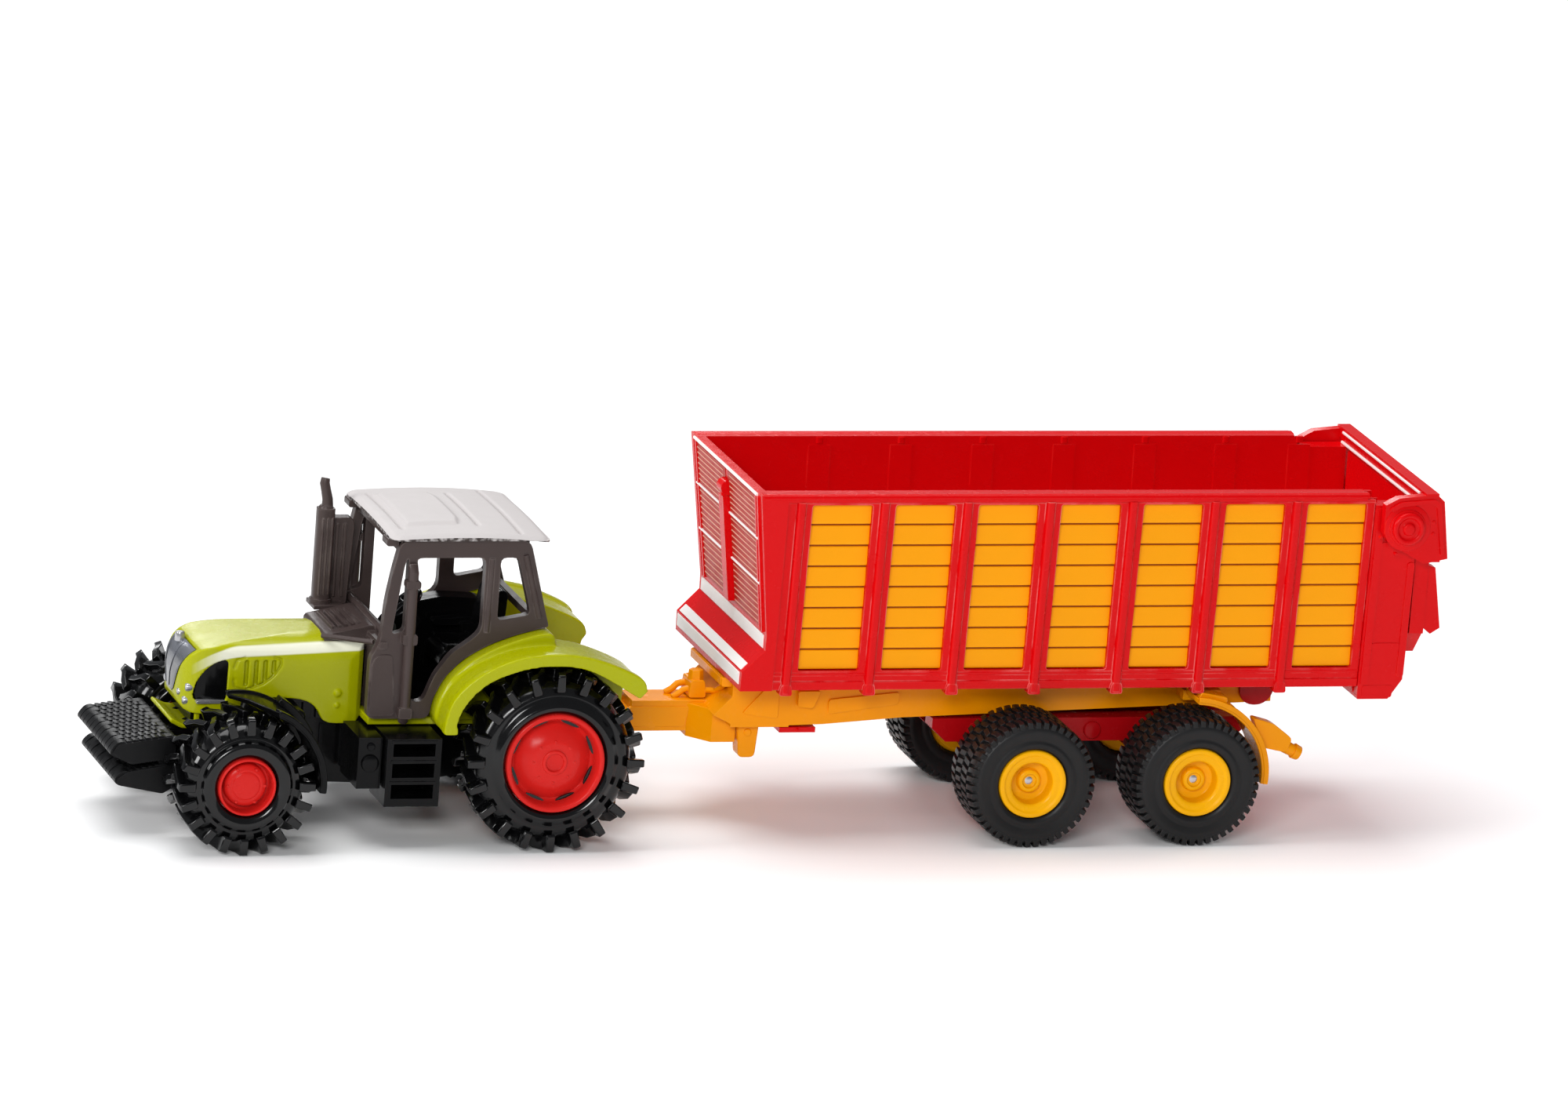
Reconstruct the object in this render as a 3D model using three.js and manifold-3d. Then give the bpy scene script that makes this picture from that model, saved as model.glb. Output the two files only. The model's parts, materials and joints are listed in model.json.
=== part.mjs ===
// A pocket-size toy tractor with a front weight, hitched to a toy forage trailer on two axles.
// Millimetres, +Z up. The tractor faces -X, its left side is -Y, and the ground is Z = 0.
// X = 0 is the middle of the whole length. The tractor's own group has its origin under the rear
// axle, and the trailer's own group has its origin under the hitch pin.
import * as THREE from 'three';
import { mergeVertices } from 'three/addons/utils/BufferGeometryUtils.js';
import Module from 'manifold-3d';

const wasm = await Module();
wasm.setup();

// ---------------------------------------------------------------- driving dimensions
const TRACTOR_X = -27.45; // rear axle
const TRAILER_X = -17.85; // hitch pin
const OUTER_Y = 17; // outer face of every tyre
const FIT = 0.05; // gap between pieces that sit in each other
const AXLE_RADIUS = 0.75;
const AXLE_BORE = 0.95; // in the frames, where the axle turns
const SIDES = { left: -1, right: 1 };

const FRONT_WHEEL = { x: -34.9, radius: 7.8, body: 6.7, rim: 3.35, width: 8.4, dish: 1.0, hub: 2.5 };
const REAR_WHEEL = { x: 0, radius: 10.2, body: 8.9, rim: 5.7, width: 7.3, dish: 2.4, hub: 1.1 };
const TRAILER_WHEEL = { radius: 7.35, body: 7.35, rim: 3.95, width: 8, dish: 2.7, hub: 1.2 };
const TRAILER_AXLES = { front: 45.85, rear: 65.2 };
const LUGS = 20; // on each half of a tractor tyre
const LUG_THICK = 1.0;
const RIM_LIP = 0.35;

const BONNET = { rear: -19.3, front: -40.1, half: 5.8, bottom: 11.9, top: 21.7, wall: 1.0 };
const FENDER = { inner: 8.3, outer: 16, shoulder: 11.6 };
const CAB = { half: 9.9, thick: 1.1, top: 33.8, sill: 13.6 };
const ROOF = { front: -18.6, rear: -0.4, half: 10.5, under: 33.9 };
const WEIGHT = { rear: -41, half: 7.8, plates: 11 };

const HOPPER = { front: 12.1, rear: 89.7, half: 14.2, skin: 12.8, wall: 0.9, floor: 17.3, top: 40 };
const HOPPER_LEAN = 1.2 / (HOPPER.top - HOPPER.floor); // the sides draw in this much per mm down
const PANELS = { first: 18.7, pitch: 9.64, width: 7.0, count: 7, bottom: 19.5, top: 38.8, slats: 8 };
const GATE = { pivotX: 87.8, pivotZ: 36.5, armInner: 14.4, armOuter: 15.6, bossOuter: 16.5 };
const RAIL = { inner: 4.6, outer: 6.8, bottom: 12.4, top: 17.2, front: 13.2, rear: 76.5 };

// ---------------------------------------------------------------- solids
function solid(geometry) {
  geometry.deleteAttribute('normal');
  geometry.deleteAttribute('uv');
  const merged = mergeVertices(geometry);
  return new wasm.Manifold(
    new wasm.Mesh({
      numProp: 3,
      vertProperties: merged.attributes.position.array,
      triVerts: new Uint32Array(merged.index.array),
    }),
  );
}

function geometryOf(body) {
  const mesh = body.getMesh();
  const geometry = new THREE.BufferGeometry();
  geometry.setAttribute('position', new THREE.BufferAttribute(new Float32Array(mesh.vertProperties), 3));
  geometry.setIndex(new THREE.BufferAttribute(new Uint32Array(mesh.triVerts), 1));
  geometry.computeVertexNormals();
  return geometry;
}

const join = (...bodies) => wasm.Manifold.union(bodies.flat());

function box(x0, x1, y0, y1, z0, z1) {
  const geometry = new THREE.BoxGeometry(x1 - x0, y1 - y0, z1 - z0);
  return solid(geometry.translate((x0 + x1) / 2, (y0 + y1) / 2, (z0 + z1) / 2));
}

function extrusion(points, depth) {
  const shape = new THREE.Shape(points.map(([a, b]) => new THREE.Vector2(a, b)));
  return new THREE.ExtrudeGeometry(shape, { depth, bevelEnabled: false, steps: 1 });
}

// Outlines seen from the left side (x, z), from the front (y, z) and from above (x, y).
const sideProfile = (points, y0, y1) =>
  solid(extrusion(points, y1 - y0).rotateX(Math.PI / 2).translate(0, y1, 0));
const sectionProfile = (points, x0, x1) => {
  const turn = new THREE.Matrix4().makeBasis(
    new THREE.Vector3(0, 1, 0),
    new THREE.Vector3(0, 0, 1),
    new THREE.Vector3(1, 0, 0),
  );
  return solid(extrusion(points, x1 - x0).applyMatrix4(turn).translate(x0, 0, 0));
};
const planProfile = (points, z0, z1) => solid(extrusion(points, z1 - z0).translate(0, 0, z0));

const across = (x, z, radius, y0, y1, sides = 16) =>
  solid(new THREE.CylinderGeometry(radius, radius, y1 - y0, sides).translate(x, (y0 + y1) / 2, z));
const upright = (x, y, radius, z0, z1, sides = 16) =>
  solid(
    new THREE.CylinderGeometry(radius, radius, z1 - z0, sides)
      .rotateX(Math.PI / 2)
      .translate(x, y, (z0 + z1) / 2),
  );

function bar(from, to, radius, sides = 8) {
  const a = new THREE.Vector3(...from);
  const b = new THREE.Vector3(...to);
  const run = new THREE.Vector3().subVectors(b, a);
  const geometry = new THREE.CylinderGeometry(radius, radius, run.length(), sides);
  const turn = new THREE.Quaternion().setFromUnitVectors(new THREE.Vector3(0, 1, 0), run.normalize());
  const middle = a.add(b).multiplyScalar(0.5);
  return solid(geometry.applyQuaternion(turn).translate(middle.x, middle.y, middle.z));
}

// Both halves of a piece that is the same left and right.
const mirrored = (body) => join(body, body.mirror([0, 1, 0]));

const polar = (cx, cz, radius, degrees) => {
  const angle = THREE.MathUtils.degToRad(degrees);
  return [cx + radius * Math.cos(angle), cz + radius * Math.sin(angle)];
};
const arc = (cx, cz, radius, from, to, steps) =>
  Array.from({ length: steps + 1 }, (_, i) => polar(cx, cz, radius, from + ((to - from) * i) / steps));

function lathe(profile, segments) {
  const closed = [...profile, profile[0]].map(([r, y]) => new THREE.Vector2(r, y));
  return solid(new THREE.LatheGeometry(closed, segments));
}

// ---------------------------------------------------------------- materials
const paint = (color, roughness, metalness = 0) =>
  new THREE.MeshStandardMaterial({ color, roughness, metalness });
const GREEN = paint(0xb4b800, 0.35, 0.2);
const BLACK = paint(0x141414, 0.3);
const RUBBER = paint(0x1c1b1b, 0.45);
const TRAILER_RUBBER = paint(0x2a2929, 0.7);
const RIM_RED = paint(0xd72d28, 0.35);
const CAB_BROWN = paint(0x5a4e4c, 0.5);
const ROOF_GREY = paint(0xded9d8, 0.55);
const CHROME = paint(0x8e9096, 0.3, 0.7);
const HOPPER_RED = paint(0xd70c14, 0.3);
const SLAT_YELLOW = paint(0xf5a500, 0.4);
const FRAME_ORANGE = paint(0xeb9600, 0.4);
const RIM_YELLOW = paint(0xf5b40a, 0.35);
const BOGIE_RED = paint(0xaa0f14, 0.4);
const STEEL = paint(0xb8b8bc, 0.3, 1);

function add(group, name, body, material) {
  const mesh = new THREE.Mesh(geometryOf(body), material);
  mesh.name = name;
  group.add(mesh);
  return mesh;
}

// ---------------------------------------------------------------- wheels
// A wheel turns about Y, with its outer face towards +Y and its middle at the origin.
function tyreRing({ rim, body, width }, segments) {
  const half = width / 2;
  const shoulder = 1.1;
  return lathe(
    [
      [rim, -half],
      [body - shoulder, -half],
      [body, shoulder - half],
      [body, half - shoulder],
      [body - shoulder, half],
      [rim, half],
    ],
    segments,
  );
}

// A tractor tyre is two toothed halves, half a pitch apart, and lug 0 of the outer half points down.
function luggedTyre({ body: outerBody, radius, rim, width }) {
  const toothed = (phase, body, y0, y1) => {
    const outline = [];
    for (let i = 0; i < LUGS; i++) {
      const middle = ((i + phase) * 360) / LUGS - 90;
      for (const [r, side] of [[body, -1], [radius, -1], [radius, 1], [body, 1]]) {
        const offset = THREE.MathUtils.radToDeg(Math.asin(LUG_THICK / 2 / r));
        outline.push(polar(0, 0, r, middle + side * offset));
      }
    }
    return sideProfile(outline, y0, y1);
  };
  const half = width / 2;
  const bore = across(0, 0, rim, -width, width, LUGS);
  const outerHalf = toothed(0, outerBody, 0, half);
  const innerHalf = toothed(0.5, outerBody - 0.15, -half, 0.2);
  return outerHalf.add(innerHalf).subtract(bore);
}

// The rim fills the tyre's bore. Its outer face is dished, with a boss round the axle's end.
function rimDisc({ rim, width, dish, hub }, segments) {
  const half = width / 2;
  const outer = rim - FIT;
  const floor = half - dish;
  return lathe(
    [
      [AXLE_RADIUS + 0.02, -half],
      [outer, -half],
      [outer, half],
      [outer - RIM_LIP, half],
      [outer - RIM_LIP - 0.2, floor],
      [hub, floor + 0.5],
      [AXLE_RADIUS + 0.02, floor + 0.5],
    ],
    segments,
  );
}

function addWheel(group, name, wheel, x, tyre, rim, tyrePaint, rimPaint) {
  for (const [side, sign] of Object.entries(SIDES)) {
    for (const [piece, body, material] of [['tyre', tyre, tyrePaint], ['rim', rim, rimPaint]]) {
      const mesh = add(group, `${name}_${piece}_${side}`, body, material);
      mesh.position.set(x, sign * (OUTER_Y - wheel.width / 2), wheel.radius);
      mesh.rotation.z = sign < 0 ? Math.PI : 0;
    }
  }
}

function addAxle(group, name, wheel, x) {
  const reach = OUTER_Y - wheel.dish + 0.6;
  add(group, name, across(x, wheel.radius, AXLE_RADIUS, -reach, reach, 12), STEEL);
}

// ---------------------------------------------------------------- tractor: green casting
const NOSE_V = [[-4.4, 20.9], [4.4, 20.9], [3.3, 18.6], [1.2, 14.6], [-1.2, 14.6], [-3.3, 18.6]];

function bonnetEnvelope() {
  const { rear, front, half, bottom, top } = BONNET;
  const side = [
    [rear, bottom], [-23.7, bottom], [-24.2, 12.6], [-24.6, 13.9], [-25.4, 14.7], [-30.4, 15.0],
    [-32.2, 14.5], [-33.2, 13.5], [-33.9, 12.4], [-35.3, 12.4], [-35.4, 13.5], [-38.6, 13.5],
    [-39.4, 14.2], [front, 15.4], [front, 16.8], [-39.6, 18.6], [-38.7, 19.8], [-37.3, 20.5],
    [-34.0, 21.1], [-28.0, 21.5], [rear, top],
  ];
  const plan = [
    [rear, -half], [-33, -half], [-36.5, -5.5], [-38.8, -4.7], [-39.8, -3.4], [front, -1.6],
    [front, 1.6], [-39.8, 3.4], [-38.8, 4.7], [-36.5, 5.5], [-33, half], [rear, half],
  ];
  const crown = [
    [-half, 10], [-half, 19.9], [-5.3, 20.8], [-4.2, 21.3], [-2, 21.6], [0, top],
    [2, 21.6], [4.2, 21.3], [5.3, 20.8], [half, 19.9], [half, 10],
  ];
  return sideProfile(side, -half, half)
    .intersect(planProfile(plan, 10, 23))
    .intersect(sectionProfile(crown, -42, rear));
}

function bonnetHollow() {
  const half = BONNET.half - BONNET.wall;
  const inside = [
    [-18, 20.6], [-28, 20.4], [-34, 19.9], [-36.6, 19.2], [-37.4, 17.4], [-37.4, 10], [-18, 10],
  ];
  return sideProfile(inside, -half, half);
}

const LAMP_OPENING = [
  [-38.3, 14.5], [-35.0, 14.5], [-35.0, 18.8], [-36.3, 18.5], [-37.5, 17.5], [-38.1, 16.1],
];
const CHIN = [[-41.0, 11.6], [-39.4, 11.0], [-37.3, 11.0], [-37.3, 11.5], [-39.2, 11.5], [-40.8, 12.1]];

function bonnet() {
  const noseRecess = sectionProfile(NOSE_V, -42, -38.2);
  const lampOpenings = mirrored(sideProfile(LAMP_OPENING, 4.0, 8));
  const cowlNotch = box(-24 - FIT, -17, -4.75, 4.75, 20.3, 23);
  const chin = sideProfile(CHIN, -4.6, 4.6);
  const chinPosts = mirrored(box(-38.4, -37.7, 3.7, 4.6, 11.2, 14));
  const shell = bonnetEnvelope().subtract(join(bonnetHollow(), noseRecess, lampOpenings, cowlNotch));
  return join(shell, chin, chinPosts);
}

const FENDER_INNER_EDGE = [
  [-11.4, 13.5], [-11.3, 15.0], [-10.5, 16.9], [-8.4, 19.1], [-5.1, 20.5], [-2.0, 21.1],
  [1.0, 21.1], [4.0, 20.5], [9.4, 17.3],
];
const FENDER_OUTER_EDGE = [
  [10.2, 18.2], [9.9, 19.4], [8.4, 20.3], [4.4, 21.9], [1.0, 22.5], [-2.0, 22.5],
  [-5.5, 21.9], [-9.3, 20.1], [-11.8, 17.7], [-12.7, 15.2], [-12.8, 13.5],
];
const SHOULDER_EDGE = [
  [-12.9, 13.7], [-12.6, 15.8], [-11.4, 18.3], [-9.4, 20.3], [-6.6, 21.9], [-3.6, 23.0], [-0.4, 23.8],
  [0.5, 23.4], [0.7, 21.6], [-2, 21.6], [-8.6, 19.7], [-11.0, 17.2], [-11.9, 15.5], [-12.0, 13.6],
];

function rearFenders() {
  const { inner, outer, shoulder } = FENDER;
  const arch = sideProfile([...FENDER_INNER_EDGE, ...FENDER_OUTER_EDGE], inner, outer);
  const raised = sideProfile(SHOULDER_EDGE, inner, shoulder);
  const wall = sideProfile([...FENDER_INNER_EDGE, [9.0, 13.2], [-11.4, 13.2]], inner, inner + 1);
  return mirrored(join(arch, raised, wall));
}

function bodyCasting() {
  const floor = box(BONNET.rear - 0.6, 8, -FENDER.inner - 0.5, FENDER.inner + 0.5, 12.6, 13.4);
  const engineRoom = box(-30, BONNET.rear - 0.4, -4.8, 4.8, 10, 20.3);
  return join(bonnet(), floor, rearFenders()).subtract(engineRoom);
}

function noseGrille() {
  const shrunk = NOSE_V.map(([y, z]) => [y * 0.985, z + FIT]);
  return bonnetEnvelope().intersect(sectionProfile(shrunk, BONNET.front - 1, -38.25));
}

// ---------------------------------------------------------------- tractor: black base
function stepLadder(sign) {
  const at = (y0, y1) => (sign < 0 ? [-y1, -y0] : [y0, y1]);
  const block = box(-18.7, -12.5, ...at(8, 14.4), 4.8, 12.5);
  const pockets = [5.7, 8.1, 10.5].map((z) => box(-18.0, -13.2, ...at(10.5, 15), z, z + 1.7));
  return block.subtract(join(pockets));
}

function tractorChassis() {
  const beam = sideProfile(
    [
      [-36.9, 10.9], [-36.9, 9.0], [-33, 5.2], [-14, 4.6], [-4, 6.2], [4, 6.2], [7.2, 8.4],
      [7.2, 12.5], [-19.8, 12.5], [-19.8, 18.6], [-36.2, 18.6], [-37.2, 17.2], [-37.2, 12.3],
      [-36.9, 12.0],
    ],
    -4.5,
    4.5,
  );
  const frontHousing = sideProfile(arc(FRONT_WHEEL.x, FRONT_WHEEL.radius, 2.1, 0, 330, 11), -8.1, 8.1);
  const rearHousing = sideProfile(
    [[-3.2, 12.5], [-3.2, 8.6], [-1.6, 7.4], [1.6, 7.4], [3.2, 8.6], [3.2, 12.5]],
    -9.3,
    9.3,
  );
  const fuelTank = join(box(-21.6, -18.9, -13.0, -6, 6.5, 12.3), box(-21.4, -18.9, -7, -4, 6.8, 11.8));
  const batteryBox = fuelTank.mirror([0, 1, 0]);
  const bores = join(
    across(FRONT_WHEEL.x, FRONT_WHEEL.radius, AXLE_BORE, -10, 10),
    across(REAR_WHEEL.x, REAR_WHEEL.radius, AXLE_BORE, -10, 10),
  );
  const steps = [stepLadder(-1), stepLadder(1), box(-18.7, -12.5, -8.5, 8.5, 5.2, 12.5)];
  return join(beam, frontHousing, rearHousing, fuelTank, batteryBox, steps).subtract(bores);
}

// The mudguard follows the front tyre from its rear to its top and is held by an arm from the base.
function frontMudguard(sign) {
  const { x, radius } = FRONT_WHEEL;
  const strip = [...arc(x, radius, 8.35, -6, 98, 10), ...arc(x, radius, 9.1, 98, -6, 10)];
  const sheet = sideProfile(strip, 9.3, 16.2);
  const arm = box(-28.4, -27.0, 4.5, 9.6, 13.2, 14.3);
  const rib = sideProfile([...arc(x, radius, 8.35, 20, 60, 4), ...arc(x, radius, 9.8, 60, 20, 4)], 8.9, 9.6);
  const guard = join(sheet, arm, rib);
  return sign < 0 ? guard.mirror([0, 1, 0]) : guard;
}

function frontLinkage() {
  const head = box(-40.9, -37.1, -3.4, 3.4, 6.6, 10.6);
  const arms = mirrored(box(-40.95, -37.1, 3.4, 4.6, 6.2, 9.9));
  return join(head, arms);
}

// Two rows of cast plates, one over the other, hung on a common back plate.
function frontWeight() {
  const { half, plates, rear } = WEIGHT;
  const upper = [[-48.3, 9.3], [-47.6, 10.5], [rear, 11.4], [rear, 8.6], [-46.0, 7.9]];
  const lower = [[-47.6, 6.4], [-46.2, 7.4], [rear, 8.2], [rear, 5.3], [-42.1, 4.6], [-47.5, 5.7]];
  const back = box(-42.4, rear, -half + 0.4, half - 0.4, 6, 10.8);
  const pitch = (2 * half) / plates;
  const slots = Array.from({ length: plates - 1 }, (_, i) => {
    const y = (i + 1) * pitch - half;
    return box(-49, -44.6, y - 0.12, y + 0.12, 4, 12);
  });
  return join(sideProfile(upper, -half, half), sideProfile(lower, -half, half), back).subtract(join(slots));
}

// Two ears with a pin between them, which the drawbar's eye turns on.
function hitchJaw() {
  const hitchX = TRAILER_X - TRACTOR_X;
  const plate = (z0, z1) => join(box(7.3, hitchX, -2.2, 2.2, z0, z1), upright(hitchX, 0, 2.2, z0, z1));
  const block = box(7.3, 7.6, -2.2, 2.2, 8.6, 12.4);
  const pin = upright(hitchX, 0, 0.95, 8.6, 13.9, 12);
  return join(plate(8.6, 9.3), plate(12.0, 12.6), block, pin);
}

// ---------------------------------------------------------------- tractor: cab
const CAB_OUTLINE = [
  [-20.1, CAB.sill], [-20.1, 20.6], [-19.2, 21.9], [-18.9, 24.0], [-18.7, 27.0], [-18.1, 30.6],
  [-17.4, CAB.top], [-2.6, CAB.top], [-0.2, 24.9], [0.1, 24.0], [-0.4, 23.9], [-3.6, 23.1],
  [-6.6, 22.0], [-9.4, 20.4], [-11.5, 18.3], [-12.7, 15.8], [-13.0, CAB.sill],
];
const DOORWAY = [
  [-16.0, 31.9], [-7.6, 31.9], [-7.6, 23.6], [-8.6, 22.6], [-10.9, 21.0], [-12.6, 18.6], [-13.8, 15.5],
  [-15.9, 15.5], [-15.9, 22.0], [-17.3, 22.4], [-17.1, 27.5],
];
const COWL = [[-24, 20.4], [-24, 21.7], [-21, 22.3], [-18.6, 22.9], [-17.9, 22.5], [-17.9, 20.4]];
const REAR_QUARTER = [[-5.9, 31.9], [-3.9, 31.9], [-2.1, 25.4], [-5.9, 24.7]];

function cabFrame() {
  const { half, thick, top, sill } = CAB;
  const plate = sideProfile(CAB_OUTLINE, half - thick, half)
    .subtract(sideProfile(DOORWAY, half - 2, half + 1))
    .subtract(sideProfile(REAR_QUARTER, half - 2, half + 1));
  const handrail = join(
    upright(-15.9, half + 0.5, 0.55, sill, 31.2, 8),
    box(-16.6, -15.2, half - 0.3, half + 0.9, 22.3, 23.3),
    box(-16.6, -15.2, half - 0.3, half + 0.9, 14.0, 15.0),
    box(-16.5, -15.6, half - 0.3, half + 0.7, 30.4, 31.2),
  );
  const header = box(-17.3, -16.2, -half, half, 32.3, top);
  const rearHeader = box(-3.8, -2.7, -half, half, 32.3, top);
  const bulkhead = box(-19.2, -18.4, -half, half, sill, 21.8).subtract(box(-20, -18, -4.4, 4.4, 15, 20));
  const cowl = sideProfile(COWL, -4.7, 4.7);
  const scuttle = box(-19.2, -17.9, -half, half, 20.9, 22.2);
  return join(mirrored(join(plate, handrail)), header, rearHeader, bulkhead, cowl, scuttle);
}

// A shallow stepped lid over the cab, with a gentle fall towards the rear.
function cabRoof() {
  const { front, rear, half, under } = ROOF;
  const lid = sideProfile(
    [
      [front, under], [front, 34.7], [front + 0.8, 34.95], [-13.5, 35.2], [-8, 35.1],
      [rear - 1.2, 34.7], [rear, 34.3], [rear, under],
    ],
    -half,
    half,
  );
  const camber = [
    [-half, 33], [-half, 34.5], [-half + 2.2, 34.95], [0, 35.3],
    [half - 2.2, 34.95], [half, 34.5], [half, 33],
  ];
  const panel = [[-15.9, -5.5], [-10.6, -6.6], [-9.6, -5.6], [-9.6, 5.6], [-10.6, 6.6], [-15.9, 5.5]];
  return join(
    lid.intersect(sectionProfile(camber, front - 1, rear + 1)),
    planProfile(panel, 34.5, 35.35),
  );
}

function exhaustStack() {
  const pipe = join(
    upright(-21.6, 6.9, 0.85, 21.95, 33.4, 12),
    bar([-21.6, 6.9, 33.0], [-21.9, 7.1, 36.6], 0.58, 12),
  );
  const cleaner = box(-21.2, -19.4, 6.3, 8.6, 22.25, 32.2);
  const foot = box(-22.6, -19.25, 5.2, 8.8, 21.95, 22.5);
  return join(pipe, cleaner, foot);
}

function cabInterior() {
  const half = FENDER.inner - 0.1;
  const floor = box(-18.2, 0.6, -half, half, 13.5, 14.5);
  const dash = [[-17.8, 14], [-17.8, 20.4], [-16.8, 21.6], [-15.4, 21.2], [-14.8, 14]];
  const cushion = [[-9.6, 14], [-10.4, 18.6], [-9.8, 19.6], [-4.4, 19.2], [-3.6, 14]];
  const backrest = [[-5.6, 19], [-4.2, 26.2], [-3.0, 26.5], [-2.4, 25.9], [-3.4, 18.6]];
  const front = sideProfile(dash, -3.6, 3.6);
  const seat = join(sideProfile(cushion, -3.3, 3.3), sideProfile(backrest, -3.1, 3.1));
  const armrest = box(-9.4, -4.2, 3.6, 4.9, 20.4, 21.5);
  const armPost = box(-6.2, -4.6, 3.0, 4.2, 17.5, 21);
  const consoleRight = box(-13.4, -1, 5.2, half, 14, 20.6);
  const consoleLeft = sideProfile([[-9, 14], [-7.6, 18.4], [-4, 20], [-0.6, 20.4], [-0.6, 14]], -half, -5.2);
  return join(floor, front, seat, armrest, armPost, consoleRight, consoleLeft);
}

function steeringWheel() {
  const TILT = -42;
  const column = bar([-16.1, 0, 21.7], [-13.9, 0, 23.9], 0.45);
  const ring = new THREE.TorusGeometry(2.1, 0.32, 6, 18);
  const spoke = box(-2.1, 2.1, -0.35, 0.35, -0.2, 0.2);
  const wheel = join(solid(ring), spoke, spoke.rotate([0, 0, 90]));
  return column.add(wheel.rotate([0, TILT, 0]).translate([-13.8, 0, 24.0]));
}

function buildTractor() {
  const tractor = new THREE.Group();
  tractor.position.x = TRACTOR_X;
  add(tractor, 'body_casting', bodyCasting(), GREEN);
  add(tractor, 'nose_grille', noseGrille(), CHROME);
  add(tractor, 'tractor_chassis', tractorChassis(), BLACK);
  add(tractor, 'front_mudguard_left', frontMudguard(-1), BLACK);
  add(tractor, 'front_mudguard_right', frontMudguard(1), BLACK);
  add(tractor, 'front_linkage', frontLinkage(), BLACK);
  add(tractor, 'front_weight', frontWeight(), BLACK);
  add(tractor, 'hitch_jaw', hitchJaw(), BLACK);
  add(tractor, 'cab_frame', cabFrame(), CAB_BROWN);
  add(tractor, 'cab_roof', cabRoof(), ROOF_GREY);
  add(tractor, 'exhaust_stack', exhaustStack(), CAB_BROWN);
  add(tractor, 'cab_interior', cabInterior(), BLACK);
  add(tractor, 'steering_wheel', steeringWheel(), BLACK);
  for (const [name, wheel] of [['front', FRONT_WHEEL], ['rear', REAR_WHEEL]]) {
    addAxle(tractor, `${name}_axle`, wheel, wheel.x);
    addWheel(tractor, name, wheel, wheel.x, luggedTyre(wheel), rimDisc(wheel, LUGS), RUBBER, RIM_RED);
  }
  return tractor;
}

// ---------------------------------------------------------------- trailer: hopper
const HOPPER_SIDE = [
  [12.6, 40], [14.6, 23.7], [14.6, 22.0], [12.1, 19.5], [12.1, 17.3], [84.2, 17.3], [84.6, 15.9],
  [88.2, 15.9], [89.7, 18.2], [89.7, 38.7], [83.9, 38.7], [83.4, 40],
];
const HOPPER_INSIDE = [[13.5, 41], [15.6, 23.7], [15.6, 18.4], [90, 18.4], [90, 41]];

const leaning = (halfTop) => {
  const halfBottom = halfTop - HOPPER_LEAN * (HOPPER.top - 15);
  const rise = HOPPER_LEAN * 2;
  return [[-halfBottom, 15], [halfBottom, 15], [halfTop + rise, 42], [-halfTop - rise, 42]];
};

// The tub is full width at its ends and drawn in between them, where the slats and ribs are fixed.
function hopperTub() {
  const { front, rear, half, skin, wall } = HOPPER;
  const whole = sideProfile(HOPPER_SIDE, -20, 20);
  const ends = join(
    sectionProfile(leaning(half), front, 15.8),
    sectionProfile(leaning(half), 84.5, rear),
    sectionProfile(leaning(skin), 15, 85),
  );
  const lining = sectionProfile(leaning(skin - wall), 10, 95);
  const cavity = sideProfile(HOPPER_INSIDE, -20, 20).intersect(lining);
  const rim = box(15, 83.4, -16, 16, 39.2, HOPPER.top);
  const flange = sectionProfile(leaning(half), 15, 85).intersect(rim);
  const ram = sideProfile([[12.2, 36.4], [13.7, 24.4], [14.9, 24.4], [13.4, 36.4]], -0.9, 0.9);
  return join(whole.intersect(ends), flange).subtract(cavity).add(ram);
}

// A ribbed plate on the side of the tub leans with it: the height above the top rail shifts it in.
function leanedPlate(body, sign) {
  const shear = new THREE.Matrix4().set(
    1, 0, 0, 0,
    0, 1, HOPPER_LEAN, -HOPPER_LEAN * HOPPER.top,
    0, 0, 1, 0,
    0, 0, 0, 1,
  );
  const geometry = geometryOf(body).applyMatrix4(shear);
  const plate = solid(geometry);
  return sign < 0 ? plate.mirror([0, 1, 0]) : plate;
}

const panelX = (i) => PANELS.first + i * PANELS.pitch;

function slatPanel(sign) {
  const { bottom, top, slats } = PANELS;
  const step = (top - bottom) / slats;
  const inner = HOPPER.skin + FIT;
  const backing = box(16.2, 84.1, inner, inner + 0.2, 18.2, 39.1);
  const boards = Array.from({ length: slats }, (_, row) => {
    const z = bottom + row * step;
    return box(16.2, 84.1, inner, inner + 0.35, z + 0.12, z + step - 0.12);
  });
  return leanedPlate(join(backing, boards), sign);
}

function ribFrame(sign) {
  const { width, pitch, count, bottom, top } = PANELS;
  const inner = HOPPER.skin + FIT + 0.35 + FIT;
  const outer = HOPPER.half - 0.45;
  const plate = box(15.85, 84.45, inner, outer, HOPPER.floor, 39.15);
  const windows = Array.from({ length: count }, (_, i) =>
    box(panelX(i), panelX(i) + width, 12, 16, bottom, top),
  );
  const ribs = Array.from({ length: count }, (_, i) => {
    const x = panelX(i) - (pitch - width) / 2;
    return box(x - 0.6, x + 0.6, inner, HOPPER.half + 0.15, HOPPER.floor - 0.2, 39.15);
  });
  return leanedPlate(join(plate.subtract(join(windows)), ribs), sign);
}

// ---------------------------------------------------------------- trailer: tailgate
const ARM_OUTLINE = [
  [85.1, 39.1], [86.6, 39.9], [91.1, 40.3], [92.0, 39.5], [92.9, 32.9], [90.1, 32.3], [85.8, 34.7],
  [85.1, 35.9],
];

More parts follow.
